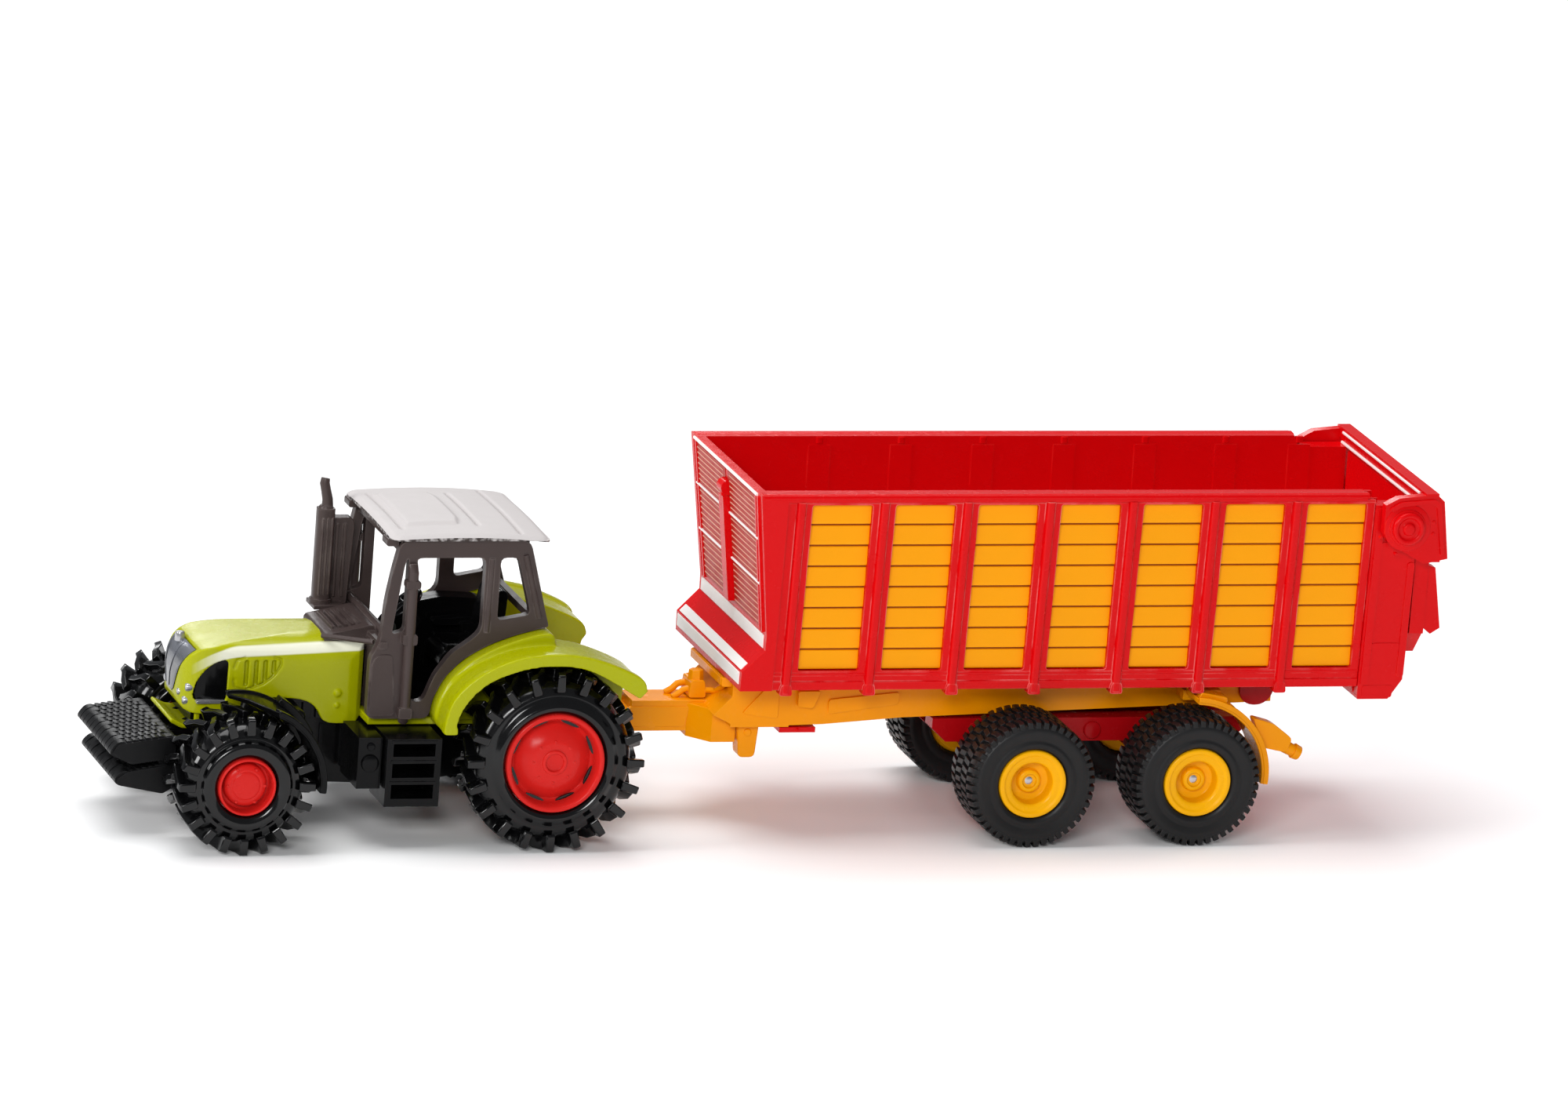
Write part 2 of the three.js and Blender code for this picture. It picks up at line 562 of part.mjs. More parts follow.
function tailgate() {
  const { pivotX, pivotZ, armInner, armOuter } = GATE;
  const arm = sideProfile(ARM_OUTLINE, armInner, armOuter).subtract(across(pivotX, pivotZ, 1.35, 10, 20));
  const top = box(89.8, 91.3, -armOuter, armOuter, 39.2, 40.4);
  const ridge = box(89.8, 90.1, -14, 14, 38.6, 39.3);
  const upper = box(89.9, 91.1, -11.3, 11.3, 32, 39.4);
  const strip = box(90.4, 92.0, -armOuter, armOuter, 32.5, 33.6);
  const lower = box(89.95, 91.6, -13.3, 13.3, 23.6, 33);
  const tip = sectionProfile([[-13.3, 24], [-10.5, 20.8], [10.5, 20.8], [13.3, 24]], 89.95, 91.6);
  const stayOutline = [[91.4, 31.6], [92.5, 31.2], [93.6, 24.2], [92.5, 23.5], [91.4, 24.4]];
  const stay = sideProfile(stayOutline, 11.6, 13.1);
  return join(mirrored(join(arm, stay)), top, ridge, upper, strip, lower, tip);
}

function gatePin(sign) {
  const { pivotX, pivotZ, bossOuter } = GATE;
  const pin = across(pivotX, pivotZ, 1.1, 14.15, bossOuter - 0.4, 16);
  const cap = across(pivotX, pivotZ, 1.9, 15.75, bossOuter, 16);
  const body = join(pin, cap);
  return sign < 0 ? body.mirror([0, 1, 0]) : body;
}

// ---------------------------------------------------------------- trailer: running gear
function trailerChassis() {
  const { inner, outer, bottom, top, front, rear } = RAIL;
  const drawbar = box(1.5, 14, -2.3, 2.3, 9.8, 13.3).subtract(box(-1, 3.0, -3, 3, 11.9, 14));
  const eye = join(upright(0, 0, 1.9, 9.6, 11.7), box(0, 3.2, -1.9, 1.9, 9.8, 11.7));
  const pinHole = upright(0, 0, 1.15, 9, 13, 12);
  const flare = [[9.4, -2.3], [11.6, -5.0], [14.4, -5.0], [14.4, 5.0], [11.6, 5.0], [9.4, 2.3]];
  const shoulder = planProfile(flare, 9.2, 13);
  const nose = [[11.2, 12.8], [14.2, 16.0], [15, top], [20, top], [20, 11.4], [14, 11.4]];
  const ramp = sideProfile(nose, -outer, outer);
  const lead = box(11.9, 15, -6, 6, 16.1, 17.0);
  const web = [[front, 11.4], [24, 11.7], [33, bottom], [rear, bottom + 1.6], [rear, top], [front, top]];
  const rails = mirrored(sideProfile(web, inner, outer));
  const cross = [28, 40, 55.5, 72].map((x) =>
    box(x - 1.2, x + 1.2, -inner - 0.5, inner + 0.5, bottom + 1.8, top),
  );
  return join(drawbar, eye, shoulder, ramp, lead, rails, cross).subtract(pinHole);
}

function supportLeg() {
  const post = box(14.5, 16.7, -5.4, -3.8, 8.4, 11.35);
  const foot = box(14.45, 17.1, -5.8, -3.4, 7.6, 8.5);
  return join(post, foot);
}

function hydraulicBlock() {
  const valve = box(9.8, 11.6, -1.6, 1.6, 13.4, 15.4);
  const knob = upright(10.7, -0.4, 0.9, 15.2, 16.3, 6);
  const hose = bar([9.9, 0.8, 14.5], [8.2, 0.8, 13.7], 0.4);
  return join(valve, knob, hose);
}

// The lug under the hopper that clips it to the chassis.
const hopperClip = () => box(19.0, 23.2, -6.6, 6.6, 10.7, 11.3).add(box(20.4, 22, -2, 2, 11.2, 17.2));

// A cradle that carries both axles in blocks below a common plate.
function bogie() {
  const cradle = [[36.7, 12.3], [36.7, 11.2], [38.4, 9.6], [72.2, 9.6], [73.7, 11.2], [73.7, 12.3]];
  const plate = sideProfile(cradle, -7, 7);
  const blocks = Object.values(TRAILER_AXLES).map((x) =>
    sideProfile([[x - 4.2, 9.8], [x - 2.0, 6.0], [x + 2.0, 6.0], [x + 4.2, 9.8]], -7.4, 7.4),
  );
  const bores = Object.values(TRAILER_AXLES).map((x) => across(x, TRAILER_WHEEL.radius, AXLE_BORE, -10, 10));
  const pockets = mirrored(box(35, 75, 1.2, 4.4, 10.7, 14));
  return join(plate, blocks).subtract(join(bores)).subtract(pockets);
}

function trailerMudguard(sign) {
  const x = TRAILER_AXLES.rear;
  const z = TRAILER_WHEEL.radius;
  const sheet = sideProfile([...arc(x, z, 8.4, -6, 86, 9), ...arc(x, z, 9.1, 86, -6, 9)], 9.2, 14.2);
  const stay = box(x, x + 4.4, RAIL.outer + FIT, 9.4, 14.9, 16.1);
  const hanger = [[72.3, 13.6], [74.6, 13.0], [77.0, 11.4], [76.4, 9.8], [73.8, 10.4]];
  const bracket = sideProfile(hanger, 11.8, 13.2);
  const lamp = bar([75.4, 12.5, 10.9], [78.3, 12.5, 9.5], 0.75, 12);
  const body = join(sheet, stay, bracket, lamp);
  return sign < 0 ? body.mirror([0, 1, 0]) : body;
}

function buildTrailer() {
  const trailer = new THREE.Group();
  trailer.position.x = TRAILER_X;
  add(trailer, 'hopper_tub', hopperTub(), HOPPER_RED);
  add(trailer, 'tailgate', tailgate(), HOPPER_RED);
  add(trailer, 'trailer_chassis', trailerChassis(), FRAME_ORANGE);
  add(trailer, 'support_leg', supportLeg(), FRAME_ORANGE);
  add(trailer, 'hydraulic_block', hydraulicBlock(), FRAME_ORANGE);
  add(trailer, 'hopper_clip', hopperClip(), HOPPER_RED);
  add(trailer, 'bogie', bogie(), BOGIE_RED);
  for (const [side, sign] of Object.entries(SIDES)) {
    add(trailer, `slat_panel_${side}`, slatPanel(sign), SLAT_YELLOW);
    add(trailer, `rib_frame_${side}`, ribFrame(sign), HOPPER_RED);
    add(trailer, `tailgate_pin_${side}`, gatePin(sign), HOPPER_RED);
    add(trailer, `trailer_mudguard_${side}`, trailerMudguard(sign), FRAME_ORANGE);
  }
  for (const [name, x] of Object.entries(TRAILER_AXLES)) {
    const tyre = tyreRing(TRAILER_WHEEL, 24);
    const rim = rimDisc(TRAILER_WHEEL, 24);
    addAxle(trailer, `trailer_${name}_axle`, TRAILER_WHEEL, x);
    addWheel(trailer, `trailer_${name}`, TRAILER_WHEEL, x, tyre, rim, TRAILER_RUBBER, RIM_YELLOW);
  }
  return trailer;
}

const toy = new THREE.Group();
toy.add(buildTractor(), buildTrailer());

export default toy;
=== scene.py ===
"""A pocket-size toy tractor with its forage trailer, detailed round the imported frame.

Outlines are in millimetres in the tractor's own frame (origin under the rear axle) or in the
trailer's own frame (origin under the hitch pin). Both face -X, and their left side is -Y.
"""
import json
import math

import bmesh
import bpy
from mathutils import Matrix, Vector


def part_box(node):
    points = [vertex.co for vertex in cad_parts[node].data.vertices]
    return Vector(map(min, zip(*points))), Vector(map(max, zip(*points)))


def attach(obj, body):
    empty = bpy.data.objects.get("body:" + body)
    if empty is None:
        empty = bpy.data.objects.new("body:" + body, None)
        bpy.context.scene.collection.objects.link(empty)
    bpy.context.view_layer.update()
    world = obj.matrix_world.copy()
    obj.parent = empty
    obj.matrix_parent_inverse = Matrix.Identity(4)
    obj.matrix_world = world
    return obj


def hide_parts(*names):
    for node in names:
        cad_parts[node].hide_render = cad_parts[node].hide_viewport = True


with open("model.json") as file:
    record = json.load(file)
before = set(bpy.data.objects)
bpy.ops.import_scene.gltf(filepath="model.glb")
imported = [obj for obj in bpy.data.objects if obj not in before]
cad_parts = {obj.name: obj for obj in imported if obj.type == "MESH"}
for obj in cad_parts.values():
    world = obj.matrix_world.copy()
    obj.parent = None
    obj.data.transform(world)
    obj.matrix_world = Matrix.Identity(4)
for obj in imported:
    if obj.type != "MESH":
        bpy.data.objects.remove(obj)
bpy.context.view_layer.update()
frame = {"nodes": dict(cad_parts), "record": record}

MM = 0.001


def box_mm(node):
    """The two opposite corners of a CAD node's box, in millimetres."""
    return tuple(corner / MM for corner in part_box(node))


def middle(node):
    low, high = box_mm(node)
    return (low + high) / 2


JOINTS = {joint["name"]: joint for joint in frame["record"]["behaviour"]["joints"]}
TRACTOR = Vector((middle("rear_axle").x, 0, 0))
TRAILER = Vector((JOINTS["hitch_yaw"]["pos_m"][0] / MM, 0, 0))
SIDES = {"left": -1, "right": 1}

# ------------------------------------------------------------------ camera, lights and floor
CAMERA = {"azimuth": -17.5, "elevation": 14.5, "roll": 4.3}  # degrees
CAMERA_DISTANCE, CAMERA_LENS = 1.5, 308.8  # metres, and mm on the default sensor
CAMERA_TARGET = Vector((0.0022, 0, 0.0301))
LIGHTS = [
    # name, place, aimed at and size in metres, power in watts
    ("top_softbox", (-0.10, 0.15, 0.85), (0, 0, 0), (0.75, 0.5), 5.4),
    ("front_softbox", (-0.45, -0.95, 0.50), (0, 0, 0.02), (0.42, 0.24), 6.2),
    ("left_softbox", (-1.0, -0.10, 0.45), (-0.02, 0, 0.02), (0.3, 0.35), 4.6),
    ("right_softbox", (0.95, 0.25, 0.55), (0.02, 0, 0.02), (0.2, 0.3), 1.8),
    ("back_softbox", (0.1, 1.0, 0.5), (0, 0, 0.02), (0.4, 0.2), 1.8),
]
BACKDROP_STRENGTH = 1.1  # the white that the camera sees
FILL_COLOUR, FILL_STRENGTH = (0.93, 0.96, 1, 1), 0.24  # what lights the toy from all round
FLOOR_RADIUS, FLOOR_GREY, FLOOR_ROUGHNESS, FLOOR_SPECULAR = 6.0, 0.97, 0.8, 0.1


def add_object(name, data):
    obj = bpy.data.objects.new(name, data)
    bpy.context.scene.collection.objects.link(obj)
    return obj


def look_at(thing, place, target, roll=0.0):
    back = (place - target).normalized()
    turn = back.to_track_quat("Z", "Y") @ Matrix.Rotation(roll, 3, "Z").to_quaternion()
    thing.location = place
    thing.rotation_euler = turn.to_euler()


def make_camera():
    azimuth, elevation, roll = (math.radians(CAMERA[k]) for k in ("azimuth", "elevation", "roll"))
    back = Vector((
        math.sin(azimuth) * math.cos(elevation),
        -math.cos(azimuth) * math.cos(elevation),
        math.sin(elevation),
    ))
    data = bpy.data.cameras.new("camera")
    data.lens = CAMERA_LENS
    data.clip_start, data.clip_end = 0.05, 50
    camera = add_object("camera", data)
    look_at(camera, CAMERA_TARGET + back * CAMERA_DISTANCE, CAMERA_TARGET, roll)
    bpy.context.scene.camera = camera


def make_studio():
    for name, place, target, size, power in LIGHTS:
        data = bpy.data.lights.new(name, "AREA")
        data.shape = "RECTANGLE"
        data.size, data.size_y = size
        data.energy = power
        look_at(add_object(name, data), Vector(place), Vector(target))

    world = bpy.data.worlds.new("studio")
    world.use_nodes = True
    nodes, links = world.node_tree.nodes, world.node_tree.links
    nodes.clear()
    shades = []
    for colour, strength in (((1, 1, 1, 1), BACKDROP_STRENGTH), (FILL_COLOUR, FILL_STRENGTH)):
        shade = nodes.new("ShaderNodeBackground")
        shade.inputs["Color"].default_value = colour
        shade.inputs["Strength"].default_value = strength
        shades.append(shade.outputs[0])
    seen, fill = shades
    path = nodes.new("ShaderNodeLightPath")
    mix = nodes.new("ShaderNodeMixShader")
    out = nodes.new("ShaderNodeOutputWorld")
    links.new(path.outputs["Is Camera Ray"], mix.inputs["Fac"])
    links.new(fill, mix.inputs[1])
    links.new(seen, mix.inputs[2])
    links.new(mix.outputs[0], out.inputs["Surface"])
    bpy.context.scene.world = world
    bpy.context.scene.view_settings.view_transform = "Standard"


def make_floor():
    mesh = bpy.data.meshes.new("floor")
    bm = bmesh.new()
    bmesh.ops.create_circle(bm, cap_ends=True, radius=FLOOR_RADIUS, segments=96)
    bm.to_mesh(mesh)
    bm.free()
    floor = add_object("floor", mesh)
    material = bpy.data.materials.new("pale_floor")
    material.use_nodes = True
    shader = material.node_tree.nodes["Principled BSDF"]
    shader.inputs["Base Color"].default_value = (FLOOR_GREY, FLOOR_GREY, FLOOR_GREY, 1)
    shader.inputs["Roughness"].default_value = FLOOR_ROUGHNESS
    shader.inputs["Specular IOR Level"].default_value = FLOOR_SPECULAR
    mesh.materials.append(material)


# ------------------------------------------------------------------ materials
# Colours are given as 0 to 255 in sRGB. Noise scales are in features per metre.
EDGE_RADIUS = 0.00022  # metres of rounding that the rubbed edges and the painted edge highlights are found with


def linear(rgb):
    return tuple((c / 255 / 12.92 if c <= 10 else ((c / 255 + 0.055) / 1.055) ** 2.4) for c in rgb)


class Surface:
    """A procedural material: mottled colour, fine grain, uneven gloss and, if wanted, edges tinted
    another colour: rubbed on some materials, a painted highlight on others.
    """

    def __init__(self, name, colour, roughness, grain=0.3, grain_scale=2600, wave=0.25, mottle=0.06,
                 metallic=0.0, coat=0.0, coat_roughness=0.1, specular=0.22, gloss_spread=0.05):
        self.material = bpy.data.materials.new(name)
        self.material.use_nodes = True
        self.nodes = self.material.node_tree.nodes
        self.links = self.material.node_tree.links
        self.shader = self.nodes["Principled BSDF"]
        for key, value in (("Metallic", metallic), ("Coat Weight", coat),
                           ("Coat Roughness", coat_roughness), ("Specular IOR Level", specular)):
            self.shader.inputs[key].default_value = value
        self.place = self.nodes.new("ShaderNodeTexCoord").outputs["Object"]
        colour = linear(colour)
        dark = tuple(c * (1 - mottle) for c in colour)
        light = tuple(min(1, c * (1 + mottle)) for c in colour)
        self.colour = self.mix(self.noise(140, 3), dark, light)
        self.rough = self.span(self.noise(650, 4), 0.35, 0.65, roughness - gloss_spread,
                               roughness + gloss_spread)
        fine = self.bump(self.noise(grain_scale, 2), grain, 0.00002)
        self.normal = self.bump(self.noise(330, 2), wave, 0.00005, fine)

    def add(self, kind, inputs, **settings):
        """A new node. Its inputs are numbers, colours or other nodes' outputs."""
        node = self.nodes.new("ShaderNode" + kind)
        for key, value in settings.items():
            setattr(node, key, value)
        for key, value in inputs.items():
            if isinstance(value, bpy.types.NodeSocket):
                self.links.new(value, node.inputs[key])
            elif value is not None:
                node.inputs[key].default_value = (*value, 1) if isinstance(value, tuple) else value
        return node

    def noise(self, scale, detail):
        inputs = {"Scale": scale, "Detail": detail, "Vector": self.place}
        return self.add("TexNoise", inputs).outputs["Fac"]

    def math(self, operation, a, b=None, clamp=False):
        return self.add("Math", {0: a, 1: b}, operation=operation, use_clamp=clamp).outputs[0]

    def span(self, value, low, high, to_low, to_high):
        """A value from low to high turned into to_low to to_high, and held there outside."""
        inputs = {"From Min": low, "From Max": high, "To Min": to_low, "To Max": to_high}
        return self.add("MapRange", {**inputs, "Value": value}).outputs[0]

    def mix(self, factor, a, b):
        inputs = {"Factor": factor, "A": a, "B": b}
        return self.add("Mix", inputs, data_type="RGBA").outputs["Result"]

    def bump(self, height, strength, distance, under=None):
        inputs = {"Strength": strength, "Distance": distance, "Height": height, "Normal": under}
        return self.add("Bump", inputs).outputs[0]

    def axes(self):
        """X, Y and Z of the surface point, in millimetres of the whole toy's frame."""
        split = self.add("SeparateXYZ", {0: self.place})
        return [self.math("MULTIPLY", out, 1000.0) for out in split.outputs]

    def edges(self, radius, low=0.02, high=0.3):
        """1 on sharp edges, 0 on flats, from how far a rounded normal leans from the true one."""
        rounded_normal = self.add("Bevel", {"Radius": radius}, samples=4).outputs[0]
        true_normal = self.add("NewGeometry", {}).outputs["Normal"]
        dot = self.add("VectorMath", {0: rounded_normal, 1: true_normal}, operation="DOT_PRODUCT")
        return self.span(dot.outputs["Value"], 1 - low, 1 - high, 0, 1)

    def tint(self, factor, colour):
        self.colour = self.mix(factor, self.colour, linear(colour))

    def edge_wear_and_highlight(self, colour, amount=0.8, patch=420, radius=EDGE_RADIUS):
        """Edges tinted to another colour in patches: rubbed on some materials, a painted highlight
        on others.
        """
        patches = self.span(self.noise(patch, 5), 0.42, 0.62, 0, amount)
        self.tint(self.math("MULTIPLY", self.edges(radius), patches, clamp=True), colour)

    def done(self):
        self.links.new(self.colour, self.shader.inputs["Base Color"])
        self.links.new(self.rough, self.shader.inputs["Roughness"])
        self.links.new(self.normal, self.shader.inputs["Normal"])
        return self.material


def green_enamel():
    """Green with a pale printed stripe on each shoulder of the bonnet. Ahead of the bend the same
    pale band droops to the nose as a painted highlight, not print.
    """
    s = Surface("green_casting", (164, 168, 0), 0.26, grain=0.18, wave=0.4, mottle=0.04,
                coat=0.07, coat_roughness=0.12, specular=0.16)
    s.edge_wear_and_highlight((205, 208, 96), 0.4)

    def stripe_edge(slope, height):
        return s.math("ADD", s.math("MULTIPLY", s.math("ADD", x, 34.4), slope), height)

    def ramp(a, b, steepness):
        """0 where a is less than b, rising to 1 past it."""
        return s.math("MULTIPLY", s.math("SUBTRACT", a, b), steepness, clamp=True)

    x, y, z = s.axes()
    x = s.math("SUBTRACT", x, TRACTOR.x)
    # Past the bend, where the band droops down to the nose, it is a painted highlight.
    past_bend = s.math("MAXIMUM", s.math("SUBTRACT", -33.5, x), 0)
    droop = s.math("MULTIPLY", s.math("MULTIPLY", past_bend, past_bend), 0.075)
    z = s.math("ADD", z, droop)
    above = ramp(z, stripe_edge(0.045, 19.45), 6.0)
    below = ramp(stripe_edge(0.035, 20.75), z, 6.0)
    behind_nose = ramp(x, -38.9, 0.3)
    ahead_of_cab = ramp(-19.0, x, 6.0)
    side = ramp(s.math("ABSOLUTE", y), 3.2, 4.0)
    stripe = s.math("MULTIPLY", s.math("MULTIPLY", above, below),
                    s.math("MULTIPLY", behind_nose, ahead_of_cab))
    s.tint(s.math("MULTIPLY", stripe, side), (226, 226, 205))
    return s.done()


def nose_insert():
    """Glassy grey, dark at both sides, with a painted reflection that pales it towards the top."""
    s = Surface("nose_insert", (64, 66, 74), 0.18, grain=0.15, coat=0.5, metallic=0.3)
    _, y, z = s.axes()
    off_centre = s.math("ABSOLUTE", s.math("SUBTRACT", y, 0.9))
    s.tint(s.span(off_centre, 0.5, 2.0, 0, 0.9), (18, 19, 24))
    # Painted reflection: paler towards the top.
    s.tint(s.span(z, 17.4, 20.8, 0, 0.6), (176, 180, 190))
    return s.done()


def grey_roof():
    """Pale grey, with a dark speckled tint on the faces that don't look up."""
    s = Surface("grey_roof", (192, 187, 186), 0.6, grain=0.6, grain_scale=3000, mottle=0.03)
    true_normal = s.add("NewGeometry", {}).outputs["True Normal"]
    facing_up = s.add("SeparateXYZ", {0: true_normal}).outputs["Z"]
    not_facing_up = s.span(facing_up, 0.35, 0.6, 1, 0)
    speckle = s.span(s.noise(1700, 4), 0.34, 0.56, 0.2, 1)
    s.tint(s.math("MULTIPLY", not_facing_up, speckle, clamp=True), (60, 52, 50))
    return s.done()


def worn_and_highlit(name, colour, roughness, edge, amount, patch=420, radius=EDGE_RADIUS, **more):
    """A plain colour tinted to another on its edges: rubbed on some materials, a painted highlight
    on the glossy plastics and the cab.
    """
    s = Surface(name, colour, roughness, **more)
    s.edge_wear_and_highlight(edge, amount, patch, radius)
    return s.done()


def gloss(name, colour, edge, roughness=0.24, edge_highlight=0.22, **more):
    """A glossy moulded plastic whose thin edges are painted lighter: a painted highlight."""
    return worn_and_highlit(name, colour, roughness, edge, edge_highlight, patch=260,
                **{"mottle": 0.025, "specular": 0.13, **more})


def steel_pin():
    s = Surface("steel_pin", (190, 190, 194), 0.28, grain=0.5, metallic=1.0, mottle=0.08)
    s.normal = s.bump(s.noise(900, 2), 0.3, 0.00003, s.normal)
    return s.done()


MATERIALS = {
    "green_casting": green_enamel(),
    "nose_insert": nose_insert(),
    "black_plastic": worn_and_highlit("black_plastic", (8, 8, 9), 0.17, (48, 48, 52), 0.35, grain=0.15,
                          wave=0.5, mottle=0.15, specular=0.13),
    # The cab frame's pale edges are a painted highlight.
    "brown_cab": worn_and_highlit("brown_cab", (66, 55, 53), 0.36, (140, 128, 124), 0.55, patch=300,
                      radius=0.0003, grain=0.5, grain_scale=1900, wave=0.5, mottle=0.12),
    "grey_roof": grey_roof(),
    "tractor_tyre": worn_and_highlit("tractor_tyre", (8, 8, 9), 0.13, (52, 52, 56), 0.35, patch=600, grain=0.1,
                         wave=0.3, mottle=0.15, specular=0.36),
    "trailer_tyre": worn_and_highlit("trailer_tyre", (22, 22, 23), 0.42, (70, 69, 68), 0.35, patch=700,
                         grain=0.6, grain_scale=2200, wave=0.5, mottle=0.18, specular=0.25),
    "red_rim": gloss("red_rim", (205, 34, 30), (240, 120, 110), wave=0.4),
    "yellow_rim": gloss("yellow_rim", (240, 172, 4), (255, 214, 110), wave=0.4),
    "red_hopper": gloss("red_hopper", (210, 4, 10), (240, 66, 56), grain=0.14, wave=0.14),
    "yellow_slat": gloss("yellow_slat", (246, 160, 0), (255, 196, 60), 0.36, grain=0.2, wave=0.2),
    "orange_frame": gloss("orange_frame", (240, 150, 0), (255, 205, 96), wave=0.45),
    # Darker than the hopper's red: painted shade for the bogie's place under the hopper.
    "dark_red_bogie": gloss("dark_red_bogie", (168, 8, 16), (214, 70, 66), wave=0.4),
    "steel_pin": steel_pin(),
}
KNURLED = worn_and_highlit("knurled_black", (15, 15, 16), 0.42, (52, 52, 54), 0.4, patch=900, grain=0.7,
               grain_scale=1500, wave=0.5, mottle=0.2, specular=0.16)
# The ribs' strong pale edge lines are a painted highlight along each post.
RED_RIBS_HIGHLIT = gloss("red_ribs_highlit", (210, 4, 10), (250, 150, 146), edge_highlight=0.8, grain=0.14, wave=0.14)
# A dark orange sheet behind the slat boards: painted shade in the gaps between them.
SLAT_GAP_SHADE = gloss("slat_gap_shade", (136, 66, 0), (170, 96, 0), 0.5)
# A darker red sheet under the front wall's ridges: painted shade in the grooves between them.
PANE_SHADE_RED = gloss("pane_shade_red", (176, 34, 24), (200, 80, 64), 0.4)
# Pale colours for the front wall's ridges and bars and the tailgate's top lines.
PALE_RIDGE = gloss("pale_ridge", (216, 156, 136), (240, 200, 184), 0.4)
NEAR_WHITE = gloss("near_white", (240, 238, 236), (252, 250, 248), 0.4, wave=0.2)
SILVER_TRIM = gloss("silver_trim", (176, 176, 180), (226, 226, 228), metallic=0.7)


# ------------------------------------------------------------------ solids, as (points, faces)
def lerp(a, b, t):
    return a + (b - a) * t


def rounded(outline, radius, steps=3, closed=True):
    """The outline with each corner turned into a short curve, no longer than half its sides."""
    made = []
    count = len(outline)
    for i, corner in enumerate(outline):
        if not closed and i in (0, count - 1):
            made.append(tuple(corner))
            continue
        here = Vector(corner)
        arms = []
        for other in (outline[i - 1], outline[(i + 1) % count]):
            side = Vector(other) - here
            arms.append(here + side.normalized() * min(radius, side.length * 0.499))
        for k in range(steps + 1):
            t = k / steps
            made.append(tuple(arms[0].lerp(here, t).lerp(here.lerp(arms[1], t), t)))
    return made


def arc(cx, cz, radius, start, end, steps):
    angles = [math.radians(lerp(start, end, i / steps)) for i in range(steps + 1)]
    return [(cx + radius * math.cos(a), cz + radius * math.sin(a)) for a in angles]


AXIS_PLACE = {
    "x": lambda a, b, c: (c, a, b),
    "y": lambda a, b, c: (a, c, b),
    "z": lambda a, b, c: (a, b, c),
}


def prism(outline, low, high, axis="y"):
    """An outline seen along an axis, from low to high: (x, z) for y, (y, z) for x, (x, y) for z."""
    place = AXIS_PLACE[axis]
    n = len(outline)
    points = [place(a, b, c) for c in (low, high) for a, b in outline]
    faces = [tuple(range(n)), tuple(range(n, 2 * n))]
    faces += [(i, (i + 1) % n, n + (i + 1) % n, n + i) for i in range(n)]
    return points, faces


def plate(outline, radius, low, high, axis="y"):
    """A prism whose outline has rounded corners."""
    return prism(rounded(outline, radius), low, high, axis)


def block(x0, x1, y0, y1, z0, z1, radius=0):
    """A box. A radius rounds the four edges that run along Y."""
    outline = [(x0, z0), (x1, z0), (x1, z1), (x0, z1)]
    return prism(rounded(outline, radius) if radius else outline, y0, y1)


def hull_sweep(sections):
    """A closed solid through sections with the same number of points."""
    n = len(sections[0])
    points = [tuple(p) for section in sections for p in section]
    faces = [tuple(range(n)), tuple(range(len(points) - n, len(points)))]
    for s in range(len(sections) - 1):
        faces += [
            (s * n + i, s * n + (i + 1) % n, (s + 1) * n + (i + 1) % n, (s + 1) * n + i)
            for i in range(n)
        ]
    return points, faces


def turned(profile, steps):
    """A solid turned about Y from (radius, y) points whose two ends are on the axis."""
    points, faces, rings = [], [], []
    for radius, y in profile:
        if radius == 0:
            rings.append([len(points)] * steps)
            points.append((0, y, 0))
            continue
        rings.append(list(range(len(points), len(points) + steps)))
        for k in range(steps):
            angle = 2 * math.pi * k / steps
            points.append((radius * math.sin(angle), y, -radius * math.cos(angle)))
    for near, far in zip(rings, rings[1:]):
        for k in range(steps):
            corners = [near[k], near[(k + 1) % steps], far[(k + 1) % steps], far[k]]
            unique = list(dict.fromkeys(corners))
            if len(unique) > 2:
                faces.append(tuple(unique))
    return points, faces


def rod(path, radius, sides=12):
    """A round bar along a path of points, with its radius at each point where a list is given."""
    path = [Vector(p) for p in path]
    radii = radius if isinstance(radius, (list, tuple)) else [radius] * len(path)
    sections = []
    across = None
    for i, (here, r) in enumerate(zip(path, radii)):
        run = (path[min(i + 1, len(path) - 1)] - path[max(i - 1, 0)]).normalized()
        if across is None:
            across = run.orthogonal().normalized()
        across = (across - run * across.dot(run)).normalized()
        up = run.cross(across)
        sections.append([
            here + (across * math.cos(a) + up * math.sin(a)) * r
            for a in (2 * math.pi * k / sides for k in range(sides))
        ])
    return hull_sweep(sections)


def button(x, y, z, radius, height, axis="y", sides=20):
    """A low round boss with a soft rim, standing out of a face along an axis, by its height."""
    sign = 1 if height > 0 else -1
    edge = min(abs(height) * 0.45, radius * 0.4)
    path = [(radius, -0.3 * sign), (radius, height - edge * sign),
            (radius - edge * 0.3, height - edge * 0.3 * sign), (radius - edge, height)]
    profile = [(0, -0.3 * sign), *path, (0, height)]
    points, faces = turned(profile, sides)
    swap = {"y": lambda p: p, "x": lambda p: (p[1], p[0], p[2]), "z": lambda p: (p[0], p[2], p[1])}
    return [(x + q[0], y + q[1], z + q[2]) for q in map(swap[axis], points)], faces


def changed(solid, change):
    points, faces = solid
    return [tuple(change(*p)) for p in points], faces


def flipped(solid, sign):
    return changed(solid, lambda x, y, z: (x, y * sign, z))


def both(*solids):
    """The solids and their mirror images on the other side."""
    return [flipped(solid, sign) for solid in solids for sign in (1, -1)]


def on_side(solids, sign):
    """The solids, built on the right, moved to the side that the sign stands for."""
    return [flipped(solid, sign) for solid in solids]


